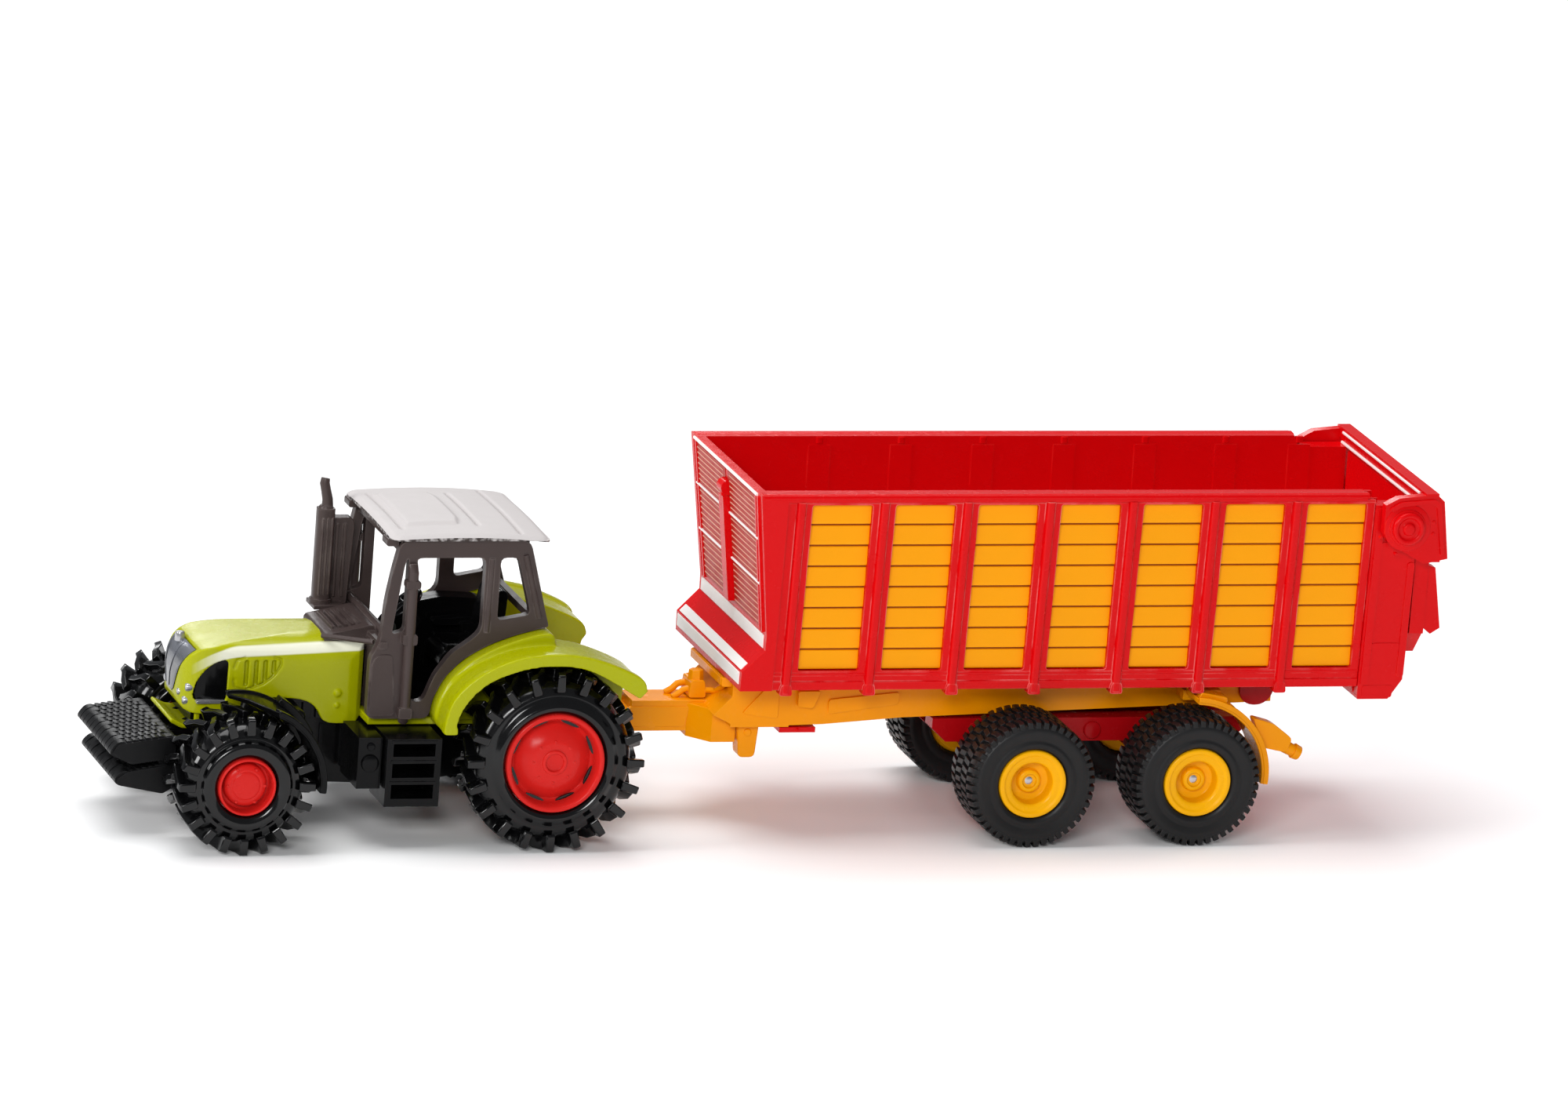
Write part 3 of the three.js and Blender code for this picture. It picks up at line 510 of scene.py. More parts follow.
# ------------------------------------------------------------------ meshes and pieces
def mesh_of(name, solids, at=Vector((0, 0, 0))):
    bm = bmesh.new()
    for points, faces in solids:
        made = [bm.verts.new((Vector(p) + at) * MM) for p in points]
        for face in faces:
            bm.faces.new([made[i] for i in face])
    bmesh.ops.recalc_face_normals(bm, faces=bm.faces)
    mesh = bpy.data.meshes.new(name)
    bm.to_mesh(mesh)
    bm.free()
    return mesh


def settle(obj):
    """Applies an object's modifiers to its mesh."""
    bpy.context.view_layer.update()
    made = bpy.data.meshes.new_from_object(obj.evaluated_get(bpy.context.evaluated_depsgraph_get()))
    obj.modifiers.clear()
    old, obj.data = obj.data, made
    bpy.data.meshes.remove(old)


def combined(operation, base, *others):
    """The base solid cut by, or kept only inside, the other solids."""
    tools = []
    result = add_object("base", mesh_of("base", [base]))
    for solid in others:
        tool = add_object("tool", mesh_of("tool", [solid]))
        tools.append(tool)
        step = result.modifiers.new("step", "BOOLEAN")
        step.operation = operation
        step.solver = "EXACT"
        step.object = tool
    settle(result)
    points = [tuple(v.co / MM) for v in result.data.vertices]
    faces = [tuple(p.vertices) for p in result.data.polygons]
    for obj in [result, *tools]:
        bpy.data.objects.remove(obj)
    return points, faces


def cut(base, *tools):
    return combined("DIFFERENCE", base, *tools)


def common(base, *tools):
    return combined("INTERSECT", base, *tools)


def cad(node, at):
    """A CAD node's own shape as a solid, in a frame's millimetres, its flat faces joined up."""
    bm = bmesh.new()
    bm.from_mesh(frame["nodes"][node].data)
    bmesh.ops.remove_doubles(bm, verts=bm.verts, dist=1e-6)
    bmesh.ops.dissolve_limit(bm, angle_limit=math.radians(0.5), verts=bm.verts, edges=bm.edges)
    points = [tuple(v.co / MM - at) for v in bm.verts]
    bm.verts.index_update()
    faces = [tuple(v.index for v in f.verts) for f in bm.faces]
    bm.free()
    return points, faces


def piece(name, body, slot, solids, at, stands_for=(), bevel=0.12, segments=2, angle=32,
          soft=None, material=None):
    """Makes one shown piece of solids. soft = (voxel, passes) melts them into one rounded skin."""
    obj = add_object(name, mesh_of(name, solids, at))
    if soft:
        voxel, passes = soft
        skin = obj.modifiers.new("skin", "REMESH")
        skin.mode = "VOXEL"
        skin.voxel_size = voxel * MM
        ease = obj.modifiers.new("ease", "SMOOTH")
        ease.factor = 0.5
        ease.iterations = passes
        settle(obj)
    obj.data.materials.clear()
    obj.data.materials.append(material or MATERIALS[slot])
    obj.data.polygons.foreach_set("use_smooth", [True] * len(obj.data.polygons))
    if not soft:
        obj.data.set_sharp_from_angle(angle=math.radians(angle))
        if bevel:
            edge = obj.modifiers.new("edges", "BEVEL")
            edge.width = bevel * MM
            edge.segments = segments
            edge.limit_method = "ANGLE"
            edge.angle_limit = math.radians(angle)
            edge.use_clamp_overlap = True
            even = obj.modifiers.new("even", "WEIGHTED_NORMAL")
            even.keep_sharp = True
    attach(obj, body)
    if stands_for:
        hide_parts(*stands_for)


# ------------------------------------------------------------------ wheels
# A wheel's own frame: it turns about Y, its outer face is +Y, and its middle is the origin.
class Wheel:
    def __init__(self, tyre_node, rim_node):
        self.tyre_node, self.rim_node = tyre_node, rim_node
        low, high = box_mm(tyre_node)
        self.radius = (high.z - low.z) / 2
        self.half = (high.y - low.y) / 2
        self.centre = (low + high) / 2
        self.sign = 1 if self.centre.y > 0 else -1
        rim_low, rim_high = box_mm(rim_node)
        self.rim = (rim_high.z - rim_low.z) / 2

    def place(self, solid):
        return changed(solid, lambda x, y, z: (x * self.sign, y * self.sign, z))


def lug(wheel, angle, side, carcass, thick=0.95, lean=11):
    """One chevron bar, from down the side wall to just past the middle of the tread."""
    stations = [
        # y, share of the lean, lowest radius, top radius, share of the thickness
        (wheel.half - 0.1, 0.0, carcass - 0.6, wheel.radius - 0.16, 0.94),
        (wheel.half - 0.3, 0.02, carcass - 0.9, wheel.radius - 0.03, 1.0),
        (wheel.half - 1.4, 0.12, carcass - 0.4, wheel.radius, 1.0),
        (1.6, 0.62, carcass - 0.4, wheel.radius, 0.9),
        (-0.15, 1.0, carcass - 0.4, wheel.radius - 0.1, 0.78),
    ]
    sections = []
    for y, share, low, high, width in stations:
        middle_angle = math.radians(angle + share * lean)
        section = []
        for r, way, narrow in ((low, -1, 1.08), (high, -1, 0.92), (high, 1, 0.92), (low, 1, 1.08)):
            a = middle_angle + way * math.asin(thick * width * narrow / 2 / r)
            section.append((r * math.sin(a), y * side, -r * math.cos(a)))
        sections.append(section)
    return hull_sweep(sections)


def carcass_ring(outer_wall, radius, steps):
    """A tyre turned from one side wall's outline, with its mirror image as the other side."""
    wall = rounded(outer_wall, radius, closed=False)
    return turned(wall + [(r, -y) for r, y in reversed(wall)] + [wall[0]], steps)


def tractor_tyre_solids(wheel, carcass, ring, lugs=20):
    """The carcass bulges in a ring outside the rim, and dips before the shoulder."""
    half, rim = wheel.half, wheel.rim
    outer_wall = [
        (rim + 0.05, half - 1.5), (rim + 0.05, half - 0.75), (rim + 0.35, half - 0.3),
        (ring, half - 0.12),
        (ring + 0.45, half - 0.45), (carcass - 1.7, half - 0.75), (carcass - 0.95, half - 0.8),
        (carcass - 0.25, half - 1.5), (carcass, half - 2.2),
    ]
    solids = [carcass_ring(outer_wall, 0.5, 72)]
    for i in range(lugs):
        solids.append(lug(wheel, 360 / lugs * i, 1, carcass))
        solids.append(lug(wheel, 360 / lugs * (i + 0.5), -1, carcass))
    return solids


def block_tread_solids(wheel, blocks=46, groove=0.26, depth=0.42):
    """A smooth carcass with four rows of small blocks, each row half a block on from the last.

    The shoulder blocks, in the first and last row, have a chamfered outer edge.
    """
    slant_share, chamfer, shoulder_drop, corner_turn = 0.10, 0.55, 0.16, 0.008
    half, rim = wheel.half, wheel.rim
    bed = wheel.radius - depth
    outer_wall = [
        (rim + 0.03, half - 1.2), (rim + 0.03, half - 0.5), (rim + 0.3, half - 0.22),
        (rim + 0.75, half - 0.1), (rim + 1.15, half - 0.28), (rim + 1.4, half - 0.2),
        (bed - 0.8, half - 0.02), (bed - 0.25, half - 0.25), (bed, half - 0.75),
    ]
    solids = [carcass_ring(outer_wall, 0.35, 92)]
    edges = [-half + 0.05, -half * 0.5, 0, half * 0.5, half - 0.05]
    step = 2 * math.pi / blocks
    for row, (y0, y1) in enumerate(zip(edges, edges[1:])):
        outside = row in (0, 3)
        slant = (slant_share if row % 2 else -slant_share) * step
        for i in range(blocks):
            start = (i + 0.5 * (row % 2)) * step
            sections = []
            for y, outer in ((y0 + groove / 2, row == 0), (y1 - groove / 2, row == 3)):
                shift = slant if y > (y0 + y1) / 2 else -slant
                low = bed - (0.75 if outer else 0.1)
                high = wheel.radius - (shoulder_drop if outer else 0)
                a0 = start + shift + groove / 2 / bed
                a1 = start + shift + step - groove / 2 / bed
                sections.append([
                    (r * math.sin(a), y, -r * math.cos(a))
                    for r, a in ((low, a0), (high, a0 + corner_turn), (high, (a0 + a1) / 2),
                                 (high, a1 - corner_turn), (low, a1))
                ])
            if outside:
                edge, inward = (sections[0], chamfer) if row == 0 else (sections[1], -chamfer)
                ridge = [(x, y + inward, z) for x, y, z in edge]
                grow = wheel.radius / (wheel.radius - shoulder_drop)
                ridge[1:4] = [(x * grow, y, z * grow) for x, y, z in ridge[1:4]]
                sections.insert(1, ridge)
            solids.append(hull_sweep(sections))
    return solids


def bolt_circle(count, turn, circle, y, radius):
    """Bolt heads evenly spaced on a circle; turn is in steps between two of them."""
    angles = [2 * math.pi * (k + turn) / count for k in range(count)]
    return [button(circle * math.sin(a), y, circle * math.cos(a), radius, 0.14, sides=10)
            for a in angles]


def small_front_rim(wheel):
    """A ring, a deep gap, and a domed disc with bolt heads round a faint ring."""
    rim, half = wheel.rim, wheel.half
    path = [
        (0, -half + 0.4), (rim - 0.3, -half + 0.4), (rim, -half + 0.8), (rim, half - 0.55),
        (rim - 0.12, half - 0.22), (rim - 0.36, half - 0.24), (rim - 0.46, half - 2.1),
        (rim - 0.88, half - 2.15), (rim - 0.92, half - 1.35), (rim - 1.1, half - 1.12),
        (1.75, half - 0.94), (1.62, half - 1.02), (1.48, half - 0.88), (0.6, half - 0.80),
        (0, half - 0.78),
    ]
    return [turned(rounded(path, 0.16, closed=False), 72),
            *bolt_circle(6, 0.5, 2.1, half - 1.0, 0.17)]


def big_rear_rim(wheel):
    """A deep dish with a raised hub ring and eight bolt heads."""
    rim, half = wheel.rim, wheel.half
    path = [
        (0, -half + 0.4), (rim - 0.4, -half + 0.4), (rim, -half + 0.9), (rim, half - 0.5),
        (rim - 0.15, half - 0.3), (rim - 0.55, half - 0.34), (rim - 0.75, half - 0.9),
        (rim - 0.95, half - 1.9), (rim - 1.25, half - 2.15),
    ]
    dish_depth, dish_rise, dish_steps = 2.15, 1.25, 16
    slope = []
    for k in range(1, dish_steps + 1):
        t = k / dish_steps
        slope.append((lerp(rim - 1.3, 1.9, t),
                      half - dish_depth + dish_rise * math.sin(t * math.pi / 2)))
    hub = [(1.45, half - 0.88), (1.38, half - 0.62), (1.05, half - 0.6), (0.98, half - 0.95),
           (0, half - 0.95)]
    profile = rounded(path, 0.2, closed=False) + slope + rounded(hub, 0.1, closed=False)
    return [turned(profile, 96), *bolt_circle(8, 0, 2.35, half - 0.98, 0.16)]


def rim_hole_pads(wheel):
    """Dark pads in the foot of the rear dish where its eight long holes are: the tyre's own black,
    with painted shade for the depth of the holes.
    """
    reach, depth = wheel.rim - 0.98, wheel.half - 1.95
    half_width, half_length, count, sides = 0.3, 1.15, 8, 28
    holes = []
    for k in range(count):
        turn = 2 * math.pi * (k + 0.5) / count
        outline = []
        for i in range(sides):
            a = 2 * math.pi * i / sides
            r, way = reach + half_width * math.sin(a), turn + half_length * math.cos(a) / reach
            outline.append((r * math.sin(way), r * math.cos(way)))
        holes.append(prism(outline, depth - 0.6, depth + 0.12))
    return holes


def trailer_rim(wheel):
    """Two step rings round a deep well, and a collar round the axle's end."""
    rim, half = wheel.rim, wheel.half
    path = [
        (0, -half + 0.4), (rim - 0.4, -half + 0.4), (rim, -half + 0.9), (rim, half - 0.42),
        (rim - 0.12, half - 0.22), (rim - 0.55, half - 0.2), (rim - 0.68, half - 0.36),
        (rim - 1.25, half - 0.42), (rim - 1.5, half - 0.62), (rim - 1.66, half - 2.1),
        (1.4, half - 2.3), (1.28, half - 1.65), (0.82, half - 1.5),
        (0.8, half - 1.95), (0, half - 1.95),
    ]
    return [turned(rounded(path, 0.14, closed=False), 72)]


def make_wheels():
    kinds = [
        ("front", "front_wheels", "tractor_tyre", "red_rim",
         lambda w: tractor_tyre_solids(w, 6.75, 4.6), small_front_rim, (0.10, 2)),
        ("rear", "rear_wheels", "tractor_tyre", "red_rim",
         lambda w: tractor_tyre_solids(w, 9.0, 6.45), big_rear_rim, (0.12, 2)),
        ("trailer_front", "trailer_front_wheels", "trailer_tyre", "yellow_rim",
         block_tread_solids, trailer_rim, (0.05, 1)),
        ("trailer_rear", "trailer_rear_wheels", "trailer_tyre", "yellow_rim",
         block_tread_solids, trailer_rim, (0.05, 1)),
    ]
    for name, body, tyre_slot, rim_slot, tyre, rim, (bevel, segments) in kinds:
        for side in SIDES:
            wheel = Wheel(f"{name}_tyre_{side}", f"{name}_rim_{side}")
            piece(f"{name}_tyre_skin_{side}", body, tyre_slot, map(wheel.place, tyre(wheel)),
                  wheel.centre, [wheel.tyre_node], bevel=bevel, segments=segments, angle=38)
            piece(f"{name}_wheel_disc_{side}", body, rim_slot, map(wheel.place, rim(wheel)),
                  wheel.centre, [wheel.rim_node], bevel=0, angle=48)
            if name == "rear":
                piece(f"rear_disc_hole_pads_{side}", body, tyre_slot,
                      map(wheel.place, rim_hole_pads(wheel)), wheel.centre, bevel=0)


def make_axles():
    """Each pin's ends are chamfered, and show in the trailer's hubs."""
    for name in ("front", "rear", "trailer_front", "trailer_rear"):
        node = f"{name}_axle"
        low, high = box_mm(node)
        radius, reach = (high.z - low.z) / 2, (high.y - low.y) / 2
        end = 0.18 if name.startswith("trailer") else -0.9
        profile = [(0, reach + end), (radius * 0.55, reach + end),
                   (radius - 0.02, reach + end - 0.22)]
        profile += [(r, -y) for r, y in reversed(profile)]
        piece(f"{name}_pin", f"{name}_wheels", "steel_pin", [turned(profile, 32)],
              (low + high) / 2, [node], bevel=0, angle=40)


# ------------------------------------------------------------------ tractor: green body
BONNET_HALF = 5.8
BONNET_SIDE = [
    (-19.3, 11.9), (-23.9, 11.9), (-24.5, 13.6), (-26.0, 14.7), (-30.4, 15.0), (-32.4, 14.4),
    (-33.9, 12.6), (-35.2, 12.6), (-35.6, 13.1), (-38.7, 12.8), (-39.8, 13.5), (-40.2, 15.0),
    (-40.1, 16.8), (-39.6, 18.6), (-38.7, 19.8), (-37.3, 20.5), (-34.0, 21.1), (-28.0, 21.5),
    (-19.3, 21.7),
]
BONNET_PLAN = [
    (-19.3, -5.8), (-33, -5.8), (-36.5, -5.5), (-38.8, -4.7), (-39.8, -3.4), (-40.1, -1.6),
    (-40.1, 1.6), (-39.8, 3.4), (-38.8, 4.7), (-36.5, 5.5), (-33, 5.8), (-19.3, 5.8),
]
BONNET_CROWN = [
    (-5.8, 10), (-5.8, 19.7), (-5.3, 20.75), (-4.2, 21.3), (-2, 21.6), (0, 21.7),
    (2, 21.6), (4.2, 21.3), (5.3, 20.75), (5.8, 19.7), (5.8, 10),
]
NOSE_V = [(-4.4, 20.9), (4.4, 20.9), (3.3, 18.6), (1.2, 14.6), (-1.2, 14.6), (-3.3, 18.6)]
SIDE_OPENING = [
    (-38.6, 14.35), (-34.95, 14.35), (-34.9, 19.2), (-35.9, 19.1), (-37.1, 18.3), (-38.0, 17.1),
    (-38.5, 15.8),
]
VENT_PANEL = [(-34.3, 19.5), (-28.6, 19.5), (-29.4, 17.7), (-31.0, 16.4), (-32.6, 15.9),
              (-34.3, 15.8)]
VENT_SLOTS = [(-32.9, 16.4), (-31.8, 16.4), (-30.75, 16.9), (-29.8, 17.8)]  # x and lower end


def bonnet_envelope(grow=0.0):
    """Side outline, plan outline and crown, each with soft corners, and where all three meet."""
    def grown(outline, centre):
        centre = Vector(centre)
        return [tuple(Vector(p) + (Vector(p) - centre).normalized() * grow) for p in outline]

    side = plate(grown(BONNET_SIDE, (-29, 17)), 1.6, -9, 9)
    plan = plate(grown(BONNET_PLAN, (-29, 0)), 1.8, 9, 24, "z")
    crown = plate(grown(BONNET_CROWN, (0, 15)), 1.2, -43, -19.3, "x")
    return common(side, plan, crown)


def groove(path, width, depth):
    """Cutters that follow a line on the bonnet's side."""
    cutters = []
    for (xa, za), (xb, zb) in zip(path, path[1:]):
        run = Vector((xb - xa, zb - za)).normalized()
        across = Vector((-run.y, run.x)) * width / 2
        a, b = Vector((xa, za)) - run * width * 0.4, Vector((xb, zb)) + run * width * 0.4
        outline = [tuple(a + across), tuple(b + across), tuple(b - across), tuple(a - across)]
        cutters.append(prism(outline, BONNET_HALF - depth, BONNET_HALF + 1.5))
    return cutters


def make_bonnet():
    cutters = both(plate(SIDE_OPENING, 0.7, 3.9, 9))
    cutters.append(prism(NOSE_V, -43, -38.2, "x"))
    cutters.append(block(-36.8, -17, -4.6, 4.6, 10, 20.0))
    panel = rounded(VENT_PANEL, 1.2, steps=2)
    cutters += both(*groove([*panel, panel[0]], 0.24, 0.3))
    for x, low in VENT_SLOTS:
        cutters += both(*groove([(x, 19.0), (x, low)], 0.46, 0.5))
    cutters += both(*groove([(-34.75, 19.9), (-34.75, 15.0)], 0.2, 0.22))
    shell = cut(bonnet_envelope(), *cutters)
    chin = rounded([(-41.0, 11.9), (-39.6, 11.15), (-37.3, 11.0), (-37.3, 11.4), (-39.4, 11.6),
                    (-40.85, 12.35)], 0.3)
    solids = [shell, prism(chin, -4.6, 4.6), *both(block(-38.2, -37.6, 3.9, 4.6, 11.2, 14))]
    solids += both(button(-22.4, BONNET_HALF, 15.4, 0.38, 0.22),
                   button(-22.4, BONNET_HALF, 14.0, 0.26, 0.18))
    piece("bonnet_shell", "tractor", "green_casting", solids, TRACTOR, ["body_casting"],
          soft=(0.11, 3))


FENDER_INNER = [
    (-11.4, 13.5), (-11.3, 15.0), (-10.5, 16.9), (-8.4, 19.1), (-5.1, 20.5), (-2.0, 21.1),
    (1.0, 21.1), (4.0, 20.5), (9.4, 17.3),
]
FENDER_OUTER = [
    (10.2, 18.2), (9.9, 19.4), (8.4, 20.3), (4.4, 21.9), (1.0, 22.5), (-2.0, 22.5),
    (-5.5, 21.9), (-9.3, 20.1), (-11.8, 17.7), (-12.7, 15.2), (-12.8, 13.5),
]
FENDER_SHOULDER = [
    (-12.9, 13.7), (-12.6, 15.8), (-11.4, 18.3), (-9.4, 20.3), (-6.6, 21.9), (-3.6, 23.0),
    (-0.4, 23.8),
    (0.5, 23.4), (0.7, 21.6), (-2, 21.6), (-8.6, 19.7), (-11.0, 17.2), (-11.9, 15.5), (-12.0, 13.6),
]


def make_fenders():
    """Each fender has a lip on its outer edge, a step inside it and a raised shoulder by the cab."""
    inner, outer = (rounded(line, 3, closed=False) for line in (FENDER_INNER, FENDER_OUTER))
    lowered = [tuple(lerp(Vector(p), Vector((-1, 13)), 0.022)) for p in outer]
    for side, sign in SIDES.items():
        solids = [
            prism(inner + outer, 14.6, 16),
            prism(inner + lowered, 8.3, 14.9),
            plate(FENDER_SHOULDER, 1.5, 8.3, 11.6),
            prism([*inner, (9.0, 13.2), (-11.4, 13.2)], 8.3, 9.3),
            block(-12.6, -11.2, 9.0, 16, 13.3, 14.1),
        ]
        piece(f"rear_fender_{side}", "tractor", "green_casting",
              on_side(solids, sign), TRACTOR, soft=(0.16, 4))
    floor = block(-19.6, 8, -8.8, 8.8, 12.6, 13.4)
    rim = block(6.9, 8.2, -8.8, 8.8, 12.5, 14.3)
    bolts = [button(x, y, 13.4, 0.7, 0.35, "z") for x in (2.8, 6.0) for y in (-4.5, 4.5)]
    piece("body_floor", "tractor", "green_casting", [floor, rim, *bolts], TRACTOR, bevel=0.2)


def make_nose():
    """A dark glassy insert with fine bars, round lamps low down, and a filler knob above it."""
    insert = common(bonnet_envelope(0.03),
                    prism([(y * 0.97, z) for y, z in NOSE_V], -43, -38.4, "x"))
    edge_bars = [prism([(1.35, 14.9), (1.75, 14.9), (4.3, 20.6), (3.9, 20.6)], -43, -38.4, "x"),
                 prism([(-0.12, 14.9), (0.12, 14.9), (0.12, 20.6), (-0.12, 20.6)], -43, -38.4, "x")]
    edge_bars.append(flipped(edge_bars[0], -1))
    clipped = [common(bar, bonnet_envelope(0.1)) for bar in edge_bars]
    piece("nose_glass", "tractor", "nose_insert", [insert, *clipped], TRACTOR, ["nose_grille"],
          bevel=0.06, angle=40)
    lamps = both(
        button(-38.75, 4.15, 15.75, 0.48, -0.6, "x", 24),
        button(-39.4, 2.95, 14.95, 0.42, -0.55, "x", 24),
        button(-38.95, 3.85, 14.2, 0.5, -0.6, "x", 24),
    )
    knob = button(-38.9, 1.2, 19.9, 0.55, 0.8, "z", 24)
    sills = both(plate([(-38.4, 14.25), (-35.0, 14.25), (-35.0, 14.6), (-38.3, 14.6)],
                       0.15, 4.9, 5.72))
    piece("nose_lamps", "tractor", "nose_insert", [*lamps, knob, *sills], TRACTOR,
          bevel=0.08, material=SILVER_TRIM)


# ------------------------------------------------------------------ tractor: black base
FRONT_AXLE_X, FRONT_AXLE_Z = -34.9, 7.8
STEP_BARS = [-18.2 + 0.9 * i for i in range(6)]


def make_base():
    steps = []
    for z in (7.55, 9.95, 12.2):
        bars = [block(x, x + 0.3, 11.2, 14.4, z - 0.05, z + 0.22) for x in STEP_BARS]
        for sign in (1, -1):
            steps += on_side([block(-18.2, -13.0, 13.3, 14.5, z - 0.22, z + 0.12), *bars], sign)
    ribs = both(*[block(x, x + 0.35, 4.3, 4.75, 6.6, 11.6)
                  for x in (-31.5, -29.6, -27.7, -25.8, -23.9)])
    caps = both(button(-20.2, 13.0, 9.4, 1.0, 0.35), button(-20.2, 13.0, 11.3, 0.45, 0.3))
    housing = both(plate(arc(FRONT_AXLE_X, FRONT_AXLE_Z, 2.25, 0, 315, 7), 0.5, 6.9, 8.3))
    drop = both(button(FRONT_AXLE_X, 8.2, FRONT_AXLE_Z, 1.55, 0.3, sides=24))
    piece("tractor_base", "tractor", "black_plastic",
          [cad("tractor_chassis", TRACTOR), *steps, *ribs, *caps, *housing, *drop], TRACTOR,
          ["tractor_chassis"], bevel=0.14)
    bumper = block(-38.6, -37.0, -4.3, 4.3, 11.5, 13.4, 0.4)
    engine = both(*[block(-30.5 + 1.5 * i, -29.6 + 1.5 * i, 4.3, 4.9, 12.3, 14.2)
                    for i in range(5)],
                  plate([(-30.9, 14.2), (-23.4, 14.2), (-23.4, 15.0), (-30.9, 15.2)],
                        0.3, 4.2, 5.1),
                  button(-27.2, 4.6, 8.8, 1.2, 0.5, sides=24), button(-31.0, 4.6, 9.2, 0.8, 0.4))
    dark = both(common(bonnet_envelope(-0.45), block(-38.9, -34.7, 3.7, 5.6, 14.0, 19.5)))
    piece("engine_detail", "tractor", "black_plastic", [*engine, bumper, *dark], TRACTOR, bevel=0.1)


def make_front_mudguards():
    x, z = FRONT_AXLE_X, FRONT_AXLE_Z
    rear_foot, lip = -6, (8.5, 9.15)  # degrees below the axle's level; radii of the rolled edges

    def section(y, start, low=8.35, high=8.95):
        """The guard's strip at one place across it, from its rear foot to its slanted front."""
        rim = arc(x, z, low, rear_foot, start, 24) + arc(x, z, high, start + 1.5, rear_foot, 24)
        return [(a, y, b) for a, b in rim]

    for side, sign in SIDES.items():
        solids = [
            hull_sweep([section(9.3, 97), section(10.2, 97), section(12.6, 86), section(16.2, 67)]),
            hull_sweep([section(15.4, 70, *lip), section(16.25, 66.5, *lip)]),
            hull_sweep([section(9.2, 97, *lip), section(9.8, 97, *lip)]),
            prism(arc(x, z, 8.9, 26, 60, 10) + arc(x, z, 9.75, 60, 26, 10), 8.9, 10.6),
            block(-28.4, -27.0, 4.5, 9.6, 13.2, 14.3),
            button(-27.7, 9.1, 13.75, 0.8, 0.6, sides=20),
        ]
        piece(f"front_mudguard_skin_{side}", "tractor", "black_plastic",
              on_side(solids, sign), TRACTOR, [f"front_mudguard_{side}"],
              bevel=0.12)


def serrated(start, end, teeth, depth, phase):
    """Points along a line with shallow teeth that stand off it."""
    a, b = Vector(start), Vector(end)
    run = b - a
    off = Vector((-run.y, run.x)).normalized() * depth
    made = []
    for k in range(teeth):
        t0 = (k + 0.12 + phase) / (teeth + 1)
        t1 = (k + 0.78 + phase) / (teeth + 1)
        made += [a + run * t0 + off, a + run * t1 + off, a + run * (t1 + 0.04),
                 a + run * (t1 + 0.12)]
    return [tuple(p) for p in made if (p - a).length < run.length]


def make_front_weight():
    """Two rows of cast plates; teeth on alternate plates give the tops their woven look."""
    half, plates = 7.8, 11
    pitch = 2 * half / plates
    solids = [block(-42.6, -41.0, -7.4, 7.4, 6.0, 10.8)]
    for i in range(plates):
        y0, y1 = i * pitch - half + 0.09, (i + 1) * pitch - half - 0.09
        phase = 0.5 * (i % 2)
        top = serrated((-47.4, 10.35), (-41.6, 11.2), 7, 0.16, phase)
        upper = [(-41.0, 8.6), (-45.8, 7.95), (-48.3, 9.1), (-48.3, 9.5), (-47.7, 10.3), *top,
                 (-41.0, 11.3)]
        shelf = serrated((-46.9, 7.0), (-42.0, 8.0), 6, 0.14, phase)
        lower = [(-41.0, 5.3), (-42.1, 4.6), (-47.2, 5.6), (-47.7, 6.0), (-47.5, 6.55), *shelf,
                 (-41.0, 8.2)]
        solids += [prism(rounded(outline, 0.3, steps=2), y0, y1) for outline in (upper, lower)]
    solids += both(plate([(-48.1, 9.3), (-47.5, 10.3), (-41.0, 11.2), (-41.0, 8.7), (-45.9, 8.1)],
                         0.4, 7.55, 7.95),
                   plate([(-47.5, 6.3), (-46.2, 7.2), (-41.0, 8.0), (-41.0, 5.4), (-42.1, 4.75),
                                  (-47.3, 5.7)], 0.4, 7.55, 7.95))
    piece("weight_plates", "tractor", "black_plastic", solids, TRACTOR, ["front_weight"],
          bevel=0.07, angle=40, material=KNURLED)
    linkage = [cad("front_linkage", TRACTOR), *both(button(-39.4, 4.6, 8.2, 0.8, 0.35, sides=20)),
               *both(rod([(-40.6, 2.2, 10.4), (-38.4, 2.2, 11.4)], 0.4))]
    piece("weight_carrier", "tractor", "black_plastic", linkage, TRACTOR, ["front_linkage"])


def make_hitch():
    piece("hitch_jaw_skin", "tractor", "black_plastic",
          [cad("hitch_jaw", TRACTOR), button(9.6, 0, 13.9, 1.15, 0.18, "z", 24)], TRACTOR,
          ["hitch_jaw"],
          bevel=0.12)


# ------------------------------------------------------------------ tractor: cab
CAB_OUTLINE = [
    (-20.1, 13.6), (-20.1, 20.6), (-19.2, 21.9), (-18.9, 24.0), (-18.7, 27.0), (-18.1, 30.6),
    (-17.4, 33.8), (-2.6, 33.8), (-0.2, 24.9), (0.1, 24.0), (-0.4, 23.9), (-3.6, 23.1),
    (-6.6, 22.0), (-9.4, 20.4), (-11.5, 18.3), (-12.7, 15.8), (-13.0, 13.6),
]
DOORWAY = [
    (-15.5, 31.9), (-7.6, 31.9), (-7.6, 23.6), (-8.6, 22.6), (-10.9, 21.0), (-12.6, 18.6),
    (-13.8, 15.5),
    (-15.3, 15.5), (-15.3, 31.0),
]
WINDSCREEN_SIDE = [(-17.3, 27.5), (-16.85, 31.0), (-16.6, 31.8), (-16.4, 31.8), (-16.4, 23.6),
                   (-17.85, 23.2)]
REAR_QUARTER = [(-5.9, 31.9), (-3.9, 31.9), (-2.1, 25.4), (-5.9, 24.7)]


